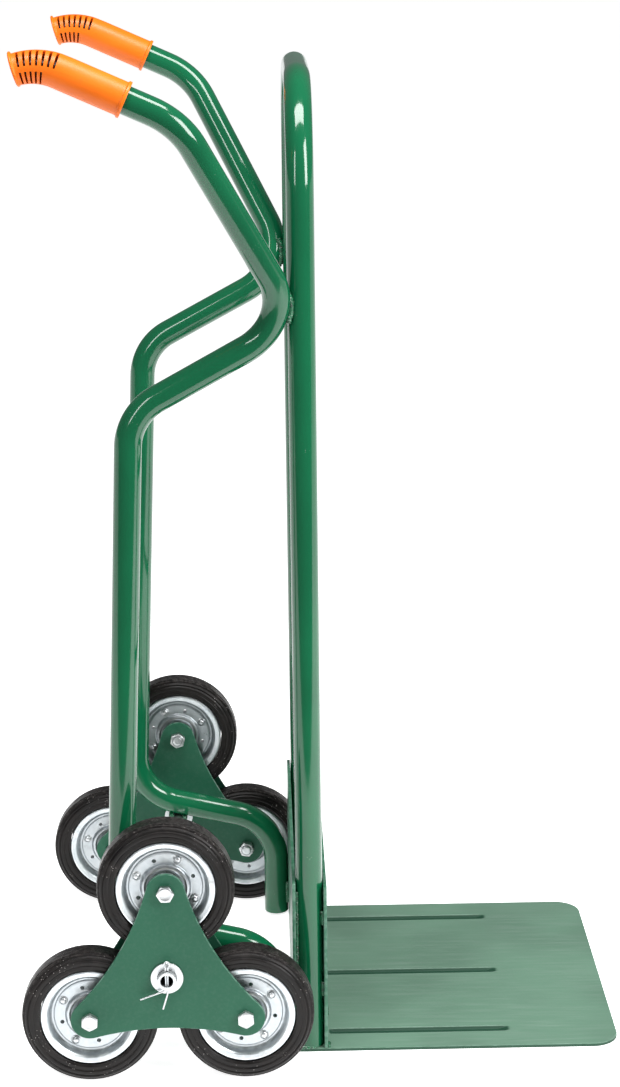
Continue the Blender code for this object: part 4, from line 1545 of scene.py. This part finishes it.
@dataclass
class Fastener:
    """A hexagon bolt and its nut, along Y, with the head on the outside.

    Attributes:
        radius: the shank's radius.
        width: the width across the flats.
        head: the head's height.
        nut: the nut's height.
        seat: from the middle of the star to the head's and the nut's seats.
        tail: how far the bolt shows past its nut.
    """

    radius: float = 0.006
    width: float = 0.018
    head: float = 0.0075
    nut: float = 0.010
    seat: float = 0.0238
    tail: float = 0.0017

    def hexagon(self, height: float, facing: float) -> list[tuple[float, float, int]]:
        """Rings up the outside of a hexagon as (radius, y, corners), from its seat to its chamfer.

        Args:
            height: how high it is.
            facing: which way it faces along Y.

        Returns:
            The rings.
        """
        half, seat = self.width / 2, facing * self.seat
        rise = [(half * 0.93, 0.0, 0), (half * 0.95, 0.0004, 0), (half * 0.985, 0.0006, 6), (half, 0.0010, 6),
                (half, height - 0.0019, 6), (half, height - 0.0014, 6)]
        return [(reach, seat + facing * y, corners) for reach, y, corners in rise]

    def chamfer(self, height: float, facing: float, turn: float) -> list[Loop]:
        """The rings over a hexagon's end, where a cone cuts its corners."""
        half = self.width / 2
        rows = []
        for reach in (1.0, 0.96, 0.93):
            ring = circle(half, 0.0, 72, 6, turn)
            for point in ring:
                out = math.hypot(point.x, point.z)
                kept = min(out * reach, half * 0.95 + (out - half * 0.95) * reach) if reach < 1 else out
                scale = kept / out
                drop = max(0.0, kept - half * 0.90) * math.tan(math.radians(30))
                point.x, point.z = point.x * scale, point.z * scale
                point.y = facing * (self.seat + height - drop)
            rows.append(ring)
        return rows

    def bolt(self, side: Side, turn: float) -> bpy.types.Mesh:
        """A bolt, its head with a shallow dish and its tail with two turns of thread.

        Args:
            side: which side of the truck it is on.
            turn: where its head's first corner points, in radians.

        Returns:
            The mesh.
        """
        out, half = side.value, self.width / 2
        top = out * (self.seat + self.head)
        rows = [circle(half * share, top - out * sunk, 72)
                for share, sunk in ((0.30, 0.00035), (0.66, 0.00025), (0.74, 0.0), (0.88, 0.0))]
        rows += self.chamfer(self.head, out, turn)
        rows += [circle(reach, y, 72, corners, turn) for reach, y, corners in reversed(self.hexagon(self.head, out))]
        rows += [circle(self.radius, out * (self.seat - 0.0001), 72)]
        end = -out * (self.seat + self.nut + self.tail)
        rows += [circle(self.radius, -out * self.seat, 72)]
        for step in range(7):
            thread = self.radius - (0.0006 if step % 2 else 0.0)
            rows.append(circle(thread, end + out * (0.0072 - 0.0011 * step), 72))
        rows += [circle(self.radius - 0.0010, end, 72), circle(self.radius * 0.5, end, 72)]
        return loft("bolt", rows)

    def nut_mesh(self, side: Side, turn: float) -> bpy.types.Mesh:
        """A nut, chamfered on its outer face.

        Args:
            side: which side of the truck it is on.
            turn: where its first corner points, in radians.

        Returns:
            The mesh.
        """
        inward = -side.value
        bore = self.radius + 0.0004
        far = inward * (self.seat + self.nut)
        rows = [circle(bore, inward * self.seat, 72)]
        rows += [circle(reach, y, 72, corners, turn) for reach, y, corners in self.hexagon(self.nut, inward)]
        rows += self.chamfer(self.nut, inward, turn)
        rows += [circle(self.width / 2 * 0.88, far, 72), circle(bore + 0.0009, far, 72),
                 circle(bore, far - inward * 0.0009, 72)]
        return loft("nut", rows, joined=True)


# ---- stars and wheels ----
@dataclass
class Star:
    """A three-armed star of two plates, a sleeve, bolts and nuts.

    Attributes:
        side: which side of the truck it is on.
        centre: its middle.
        arm: from its middle to a wheel's axis.
        arm_radius: the round end of an arm.
        hollow: how far the sides curve in.
        half: from its middle to the inside of a plate.
        thickness: a plate's thickness.
        axle_radius: the axle's radius.
        sleeve: the sleeve's (radius, inner end y).
        fastener: the wheel bolts.
        turns: how far each arm's bolt head is turned, in degrees.
    """

    side: Side
    centre: Vector
    arm: float
    arm_radius: float = 0.0225
    hollow: float = 0.0115
    half: float = 0.0195
    thickness: float = 0.004
    axle_radius: float = 0.011
    sleeve: tuple[float, float] = (0.0158, 0.2251)
    fastener: Fastener = field(default_factory=Fastener)
    turns: Mapping[Arm, float] = field(default_factory=lambda: {Arm.TOP: 2, Arm.REAR: 27, Arm.FRONT: 33})

    @property
    def body(self) -> str:
        """The body it rides on."""
        return "star_" + self.side.word

    def outline(self) -> Outline:
        """The plates' edge, anticlockwise in (x, z)."""
        middle = math.radians(60)
        half, drop = self.arm * math.sin(middle), self.arm * math.cos(middle)
        rise = self.arm_radius - self.hollow
        bend = (half ** 2 + rise ** 2 - self.arm_radius ** 2) / (2 * self.hollow)
        lean = math.atan2(half, rise + bend)
        reach = drop + rise + bend
        end = arc((self.arm, 0), self.arm_radius, -middle - lean, middle + lean, 36)
        hollow = arc((reach * math.cos(middle), reach * math.sin(middle)), bend, middle + math.pi + lean,
                     middle + math.pi - lean, 28)
        points: Outline = []
        for spin in (90, 210, 330):
            turn = math.radians(spin)
            for x, z in end + hollow[1:-1]:
                points.append((x * math.cos(turn) - z * math.sin(turn), x * math.sin(turn) + z * math.cos(turn)))
        return points

    def plate_mesh(self, name: str, centre_hole: float) -> bpy.types.Mesh:
        """One plate, with its four holes.

        Args:
            name: the mesh's name.
            centre_hole: the radius of the middle hole.

        Returns:
            The mesh, about the star's middle.
        """
        holes = [arc((0, 0), centre_hole, 2 * math.pi, 0, 40)[:-1]]
        for arm in Arm:
            angle = math.radians(arm.value)
            spot = (self.arm * math.cos(angle), self.arm * math.sin(angle))
            holes.append(arc(spot, self.fastener.radius + 0.0003, 2 * math.pi, 0, 28)[:-1])
        return plate(name, [self.outline()] + holes, self.thickness, 0.0005)

    def build_plates(self, bench: Bench) -> None:
        """Make the two plates."""
        middle = self.half + self.thickness / 2
        for which, offset, hole in (("outer", middle, self.axle_radius + 0.0006),
                                    ("inner", -middle, self.sleeve[0] + 0.0005)):
            node = "star_%s_plate_%s" % (which, self.side.word)
            place = self.centre + Vector((0, self.side.value * offset, 0))
            bench.show(node + "_sheet", self.plate_mesh(node, hole), STAR_GREEN, Slot.GREEN_PLATE, self.body,
                       [node], place)

    def build_sleeve(self, bench: Bench) -> None:
        """Make the sleeve, and the weld round it."""
        radius, inner_end = self.sleeve
        low, high = inner_end - abs(self.centre.y), self.half - 0.0003
        bore = self.axle_radius + 0.0006
        corners = [(radius, high, 0.0004), (radius, low, 0.0006), (bore, low, 0.0004), (bore, high, 0.0004)]
        profile = [(reach, self.side.value * y) for reach, y in rounded(corners)]
        node = "star_sleeve_" + self.side.word
        bench.show(node + "_tube", turned(node, profile, 48), STAR_GREEN, Slot.GREEN_PLATE, self.body,
                   [node], self.centre)
        beads = []
        for number, offset in enumerate((-self.half - self.thickness - 0.0006, -self.half + 0.0006,
                                         self.half - 0.0008)):
            ring = [Vector((point.x, self.side.value * offset, point.z)) for point in circle(radius + 0.0008, 0, 40)]
            beads.append(bead(ring + ring[:1], 0.0017, 200 + number + self.side.value))
        name = "star_welds_" + self.side.word
        bench.show(name, merged(name, beads), WELD_GREEN, Slot.GREEN_PLATE, self.body, place=self.centre, sharp=70)

    def wheel_centre(self, arm: Arm) -> Vector:
        """Where an arm's wheel turns."""
        angle = math.radians(arm.value)
        return self.centre + Vector((self.arm * math.cos(angle), 0, self.arm * math.sin(angle)))

    def build_fasteners(self, bench: Bench) -> None:
        """Make the bolts and nuts."""
        for arm in Arm:
            label = "%s_%s" % (self.side.word, arm.name.lower())
            turn = math.radians(self.turns[arm])
            place = self.wheel_centre(arm)
            bench.show("bolt_%s_steel" % label, self.fastener.bolt(self.side, turn), BRIGHT_ZINC, Slot.ZINC,
                       self.body, ["bolt_" + label], place)
            bench.show("nut_%s_steel" % label, self.fastener.nut_mesh(self.side, turn + 0.3), BRIGHT_ZINC,
                       Slot.ZINC, self.body, ["nut_" + label], place)

    def build(self, bench: Bench) -> None:
        """Make the star."""
        self.build_plates(bench)
        self.build_sleeve(bench)
        self.build_fasteners(bench)


@dataclass
class Wheel:
    """A solid rubber tyre on a riveted, pressed rim, turning on a bush.

    Attributes:
        label: the end of its nodes' names.
        centre: its middle.
        side: which side of the truck it is on.
        turn: how far round its rivets stand, in degrees.
        tyre_radius: the tread's radius.
        tyre_half: half the tyre's width.
        bore: the tyre's bore.
        rivet_circle: the rivets' distance from the axis.
        bush: the bush's (radius, half length, bore).
    """

    label: str
    centre: Vector
    side: Side
    turn: float
    tyre_radius: float = 0.080
    tyre_half: float = 0.018
    bore: float = 0.0588
    rivet_circle: float = 0.0365
    bush: tuple[float, float, float] = (0.0123, 0.0189, 0.0063)

    @property
    def body(self) -> str:
        """The body it rides on."""
        return "wheel_" + self.label

    def tyre_profile(self) -> Outline:
        """The tyre's section: tread, shoulders with two grooves, and side walls with a bead line."""
        half, radius, bore = self.tyre_half, self.tyre_radius, self.bore
        right = [(radius, 0.0, 0.0), (radius, 0.0040, 0.002), (radius, 0.0098, 0.0008),
                 (radius - 0.0019, 0.0103, 0.0003), (radius - 0.0019, 0.0113, 0.0003),
                 (radius - 0.0004, 0.0119, 0.0005), (radius - 0.0012, 0.0136, 0.0006),
                 (radius - 0.0036, 0.0138, 0.0003), (radius - 0.0042, 0.0147, 0.0003),
                 (radius - 0.0036, 0.0156, 0.0004), (radius - 0.0054, half - 0.0009, 0.0008),
                 (radius - 0.0064, half - 0.0008, 0.0004), (radius - 0.0074, half - 0.0016, 0.0003),
                 (radius - 0.0082, half - 0.0008, 0.0004), (radius - 0.0094, half, 0.0008),
                 (radius - 0.0120, half, 0.001), (bore + 0.0080, half - 0.0004, 0.001),
                 (bore + 0.0072, half - 0.0009, 0.0003), (bore + 0.0064, half - 0.0004, 0.0004),
                 (bore + 0.0030, half - 0.0004, 0.0008), (bore + 0.0003, half - 0.0022, 0.0004)]
        left = [(reach, -y, rounding) for reach, y, rounding in reversed(right)]
        return rounded(left[:-1] + right, 2)

    def rim_profile(self) -> Outline:
        """The outer rim half's section, from its lip over the dish to its hub."""
        outside, meeting = self.bore - 0.0008, 0.00015
        corners = [(outside, meeting, 0.0), (outside, 0.0140, 0.0006), (outside - 0.0006, 0.0150, 0.0006),
                   (outside - 0.0022, 0.0153, 0.0008), (outside - 0.0070, 0.0144, 0.0014),
                   (outside - 0.0086, 0.0126, 0.0012), (outside - 0.0104, 0.0068, 0.0014),
                   (outside - 0.0124, 0.0046, 0.0012), (outside - 0.0146, 0.0046, 0.0006),
                   (outside - 0.0156, 0.0058, 0.0006), (0.0405, 0.0060, 0.0010), (0.0300, 0.0056, 0.0014),
                   (0.0278, 0.0092, 0.0012), (0.0252, 0.0100, 0.0009), (0.0228, 0.0090, 0.0010),
                   (0.0200, 0.0062, 0.0012), (0.0172, 0.0064, 0.0010), (0.0160, 0.0106, 0.0006),
                   (0.0136, 0.0110, 0.0005), (0.0127, 0.0106, 0.0002), (0.0127, meeting, 0.0)]
        return rounded(corners, 3)

    def rim_mesh(self) -> bpy.types.Mesh:
        """The outer rim half, with its drain holes."""
        drills = []
        for degrees in (45, 135, 225, 315):
            angle = math.radians(self.turn + degrees)
            hole = loft("drill", [circle(0.0025, y, 20) for y in (-0.003, 0.02)])
            spot = Vector((0.0345 * math.cos(angle), 0, 0.0345 * math.sin(angle)))
            hole.transform(Matrix.Translation(spot))
            drills.append(hole)
        return drilled(turned("rim", self.rim_profile(), 80), drills)

    def build_rims(self, bench: Bench) -> None:
        """Make both rim halves."""
        outer = self.rim_mesh()
        for which, facing in (("outer", self.side.value), ("inner", -self.side.value)):
            node = "rim_%s_%s" % (which, self.label)
            bench.show(node + "_pressing", moved(outer, Matrix.Diagonal((1, facing, 1, 1))), PRESSED_ZINC,
                       Slot.RIM_ZINC, self.body, [node], self.centre)

    def build_rivets(self, bench: Bench) -> None:
        """Make the four rivets, a head on each side."""
        heads = []
        rings = [(0.0054, 0.0055), (0.0054, 0.0064), (0.0049, 0.0067), (0.0045, 0.0060), (0.0041, 0.0060),
                 (0.0040, 0.0070), (0.0034, 0.0083), (0.0022, 0.0090), (0.0008, 0.0092)]
        for quarter in range(4):
            angle = math.radians(self.turn + 90 * quarter)
            spot = Vector((self.rivet_circle * math.cos(angle), 0, self.rivet_circle * math.sin(angle)))
            for facing in (1, -1):
                head = loft("rivet", [circle(reach, facing * y, 24) for reach, y in rings])
                head.transform(Matrix.Translation(spot))
                heads.append(head)
        name = "rivets_" + self.label
        bench.show(name, merged(name, heads), BRIGHT_ZINC, Slot.RIM_ZINC, self.body, place=self.centre)

    def build(self, bench: Bench) -> None:
        """Make the wheel."""
        tyre = turned("tyre", self.tyre_profile(), 120)
        bench.show("tyre_%s_rubber" % self.label, tyre, TYRE_RUBBER, Slot.RUBBER, self.body,
                   ["tyre_" + self.label], self.centre, sharp=60)
        self.build_rims(bench)
        self.build_rivets(bench)
        radius, half, bore = self.bush
        profile = rounded([(radius, half, 0.0005), (radius, -half, 0.0005), (bore, -half, 0.0003),
                           (bore, half, 0.0003)])
        bench.show("bush_%s_moulding" % self.label, turned("bush", profile, 40), NATURAL_NYLON, Slot.NYLON,
                   self.body, ["bush_" + self.label], self.centre)


# ---- the studio ----
@dataclass(frozen=True)
class Lamp:
    """A soft studio light.

    Attributes:
        name: its name.
        place: where it hangs.
        aim: what it points at.
        size: its width and height.
        power: its power in watts.
    """

    name: str
    place: tuple[float, float, float]
    aim: tuple[float, float, float]
    size: tuple[float, float]
    power: float

    def hang(self) -> None:
        """Put the light in the scene."""
        light = bpy.data.lights.new(self.name, "AREA")
        light.shape = "RECTANGLE"
        light.size, light.size_y = self.size
        light.energy = self.power
        lamp = bpy.data.objects.new(self.name, light)
        bpy.context.scene.collection.objects.link(lamp)
        lamp.location = self.place
        way = Vector(self.aim) - Vector(self.place)
        lamp.rotation_euler = way.to_track_quat("-Z", "Y").to_euler()
        lamp.visible_camera = False


@dataclass
class Studio:
    """The camera, the floor, the surroundings and the lights.

    Attributes:
        camera_place: where the camera stands.
        yaw: how far it looks towards -X from +Y, in radians.
        pitch: how far it looks down.
        roll: how far it is rolled.
        lens: its focal length in millimetres, on a 36 mm sensor.
        shift: its sideways and upward shift.
        floor_size: the floor's width and depth.
        floor_front: where its front edge is, y.
        floor_glow: how much light the floor gives of itself.
        sky: how much light the surroundings give.
        backdrop: how bright they look behind the truck.
        lamps: the lights.
    """

    camera_place: tuple[float, float, float] = (-0.07117, -3.03953, 1.40690)
    yaw: float = -0.0212
    pitch: float = 0.2192
    roll: float = -0.009
    lens: float = 84.55
    shift: tuple[float, float] = (0.0, -0.1136)
    floor_size: float = 60.0
    floor_front: float = -1.1
    floor_glow: float = 0.84
    sky: float = 0.19
    backdrop: float = 1.05
    lamps: tuple[Lamp, ...] = (
        Lamp("right_softbox", (2.00, -1.60, 1.85), (0.0, 0.0, 0.9), (0.95, 1.7), 82.0),
        Lamp("left_softbox", (-1.65, -2.10, 1.75), (0.0, 0.0, 0.9), (0.30, 1.4), 17.0),
        Lamp("top_softbox", (0.2, -0.75, 3.30), (0.1, 0.0, 0.3), (2.6, 0.90), 112.0),
    )

    def set_camera(self) -> None:
        """Make the camera."""
        forward = Vector((-math.sin(self.yaw) * math.cos(self.pitch), math.cos(self.yaw) * math.cos(self.pitch),
                          -math.sin(self.pitch)))
        right = Vector((math.cos(self.yaw), math.sin(self.yaw), 0))
        up = right.cross(forward)
        turned_right = right * math.cos(self.roll) + up * math.sin(self.roll)
        turned_up = up * math.cos(self.roll) - right * math.sin(self.roll)
        data = bpy.data.cameras.new("camera")
        data.lens, data.sensor_width = self.lens, 36.0
        data.shift_x, data.shift_y = self.shift
        data.clip_end = 200.0
        camera = bpy.data.objects.new("camera", data)
        bpy.context.scene.collection.objects.link(camera)
        turn = Matrix((turned_right, turned_up, -forward)).transposed().to_4x4()
        camera.matrix_world = Matrix.Translation(self.camera_place) @ turn
        bpy.context.scene.camera = camera

    def lay_floor(self) -> None:
        """Make the plain pale floor."""
        half, front = self.floor_size / 2, self.floor_front
        mesh = bpy.data.meshes.new("floor")
        corners = [(-half, front), (half, front), (half, front + 2 * half), (-half, front + 2 * half)]
        mesh.from_pydata([(x, y, -0.0002) for x, y in corners], [], [(0, 1, 2, 3)])
        floor = bpy.data.objects.new("floor", mesh)
        bpy.context.scene.collection.objects.link(floor)
        wiring = Wiring("pale_floor")
        wiring.put("Base Color", (0.88, 0.88, 0.88))
        wiring.put("Emission Color", (1.0, 1.0, 1.0))
        wiring.put("Emission Strength", self.floor_glow)
        wiring.put("Roughness", 0.9)
        wiring.put("Specular IOR Level", 0.1)
        mesh.materials.append(wiring.material)

    def light(self) -> None:
        """Make the pale surroundings and hang the lights."""
        world = bpy.data.worlds.new("studio")
        world.use_nodes = True
        back = world.node_tree.nodes["Background"]
        back.inputs["Color"].default_value = (0.97, 0.985, 1.0, 1.0)
        tree = world.node_tree
        seen = tree.nodes.new("ShaderNodeLightPath")
        strength = tree.nodes.new("ShaderNodeMapRange")
        strength.inputs["To Min"].default_value = self.sky
        strength.inputs["To Max"].default_value = self.backdrop
        tree.links.new(seen.outputs["Is Camera Ray"], strength.inputs["Value"])
        tree.links.new(strength.outputs["Result"], back.inputs["Strength"])
        bpy.context.scene.world = world
        for lamp in self.lamps:
            lamp.hang()
        bpy.context.scene.view_settings.view_transform = "Standard"

    def build(self) -> None:
        """Set up the studio."""
        self.set_camera()
        self.lay_floor()
        self.light()


def joint_places() -> dict[str, Vector]:
    """Where each joint's axis is, by the name of the body that turns on it."""
    return {joint["child"]: Vector(joint["pos_m"]) for joint in frame["joints"]}


def make_shelf() -> Shelf:
    """The shelf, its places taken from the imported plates."""
    low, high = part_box("toe_plate")
    front_low, front_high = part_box("front_plate")
    rear_low, rear_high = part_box("rear_plate")
    start = front_high.x
    thickness = front_high.x - front_low.x
    top = front_low.z - 0.0003
    edge = high.y - 0.046
    return Shelf(back=low.x + 1e-5, front=high.x - 1e-5, half_width=high.y - 1e-5, low=top - thickness,
                 thickness=thickness, corner=0.032, lanes=(-edge, 0.0, edge), channel=(0.0076, 0.0034),
                 run=(start + 0.0010, start + 0.008, start + 0.208, start + 0.226),
                 uprights=(("front_plate", front_low.x, front_high.z), ("rear_plate", rear_low.x, rear_high.z)))


def main() -> None:
    """Build the truck and the studio."""
    logging.basicConfig(level=logging.INFO, format="%(message)s")
    bench = Bench()
    Studio().build()
    places = joint_places()
    loop, handles, shelf = BackLoop(), HandleTubes(), make_shelf()
    loop.build(bench)
    handles.build(bench)
    Grips().build(bench)
    shelf.build(bench)
    star_left = places["star_left"]
    axle = Axle(Vector((star_left.x, 0, star_left.z)))
    axle.build(bench)
    front_low, front_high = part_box("front_plate")
    Welds(loop, handles, (axle.centre.x, axle.centre.z), axle.radius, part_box("rear_plate")[0].x,
          (front_low.x, front_high.x), shelf.low + shelf.thickness).build(bench)
    turns = {"left_top": 28.0, "left_rear": 75.0, "left_front": 50.0,
             "right_top": 67.0, "right_rear": 60.0, "right_front": 35.0}
    for side in Side:
        centre = places["star_" + side.word]
        star = Star(side, centre, (places["wheel_%s_top" % side.word] - centre).length)
        star.build(bench)
        for arm in Arm:
            label = "%s_%s" % (side.word, arm.name.lower())
            Wheel(label, places["wheel_" + label], side, turns[label]).build(bench)


if __name__ == "__main__":
    main()
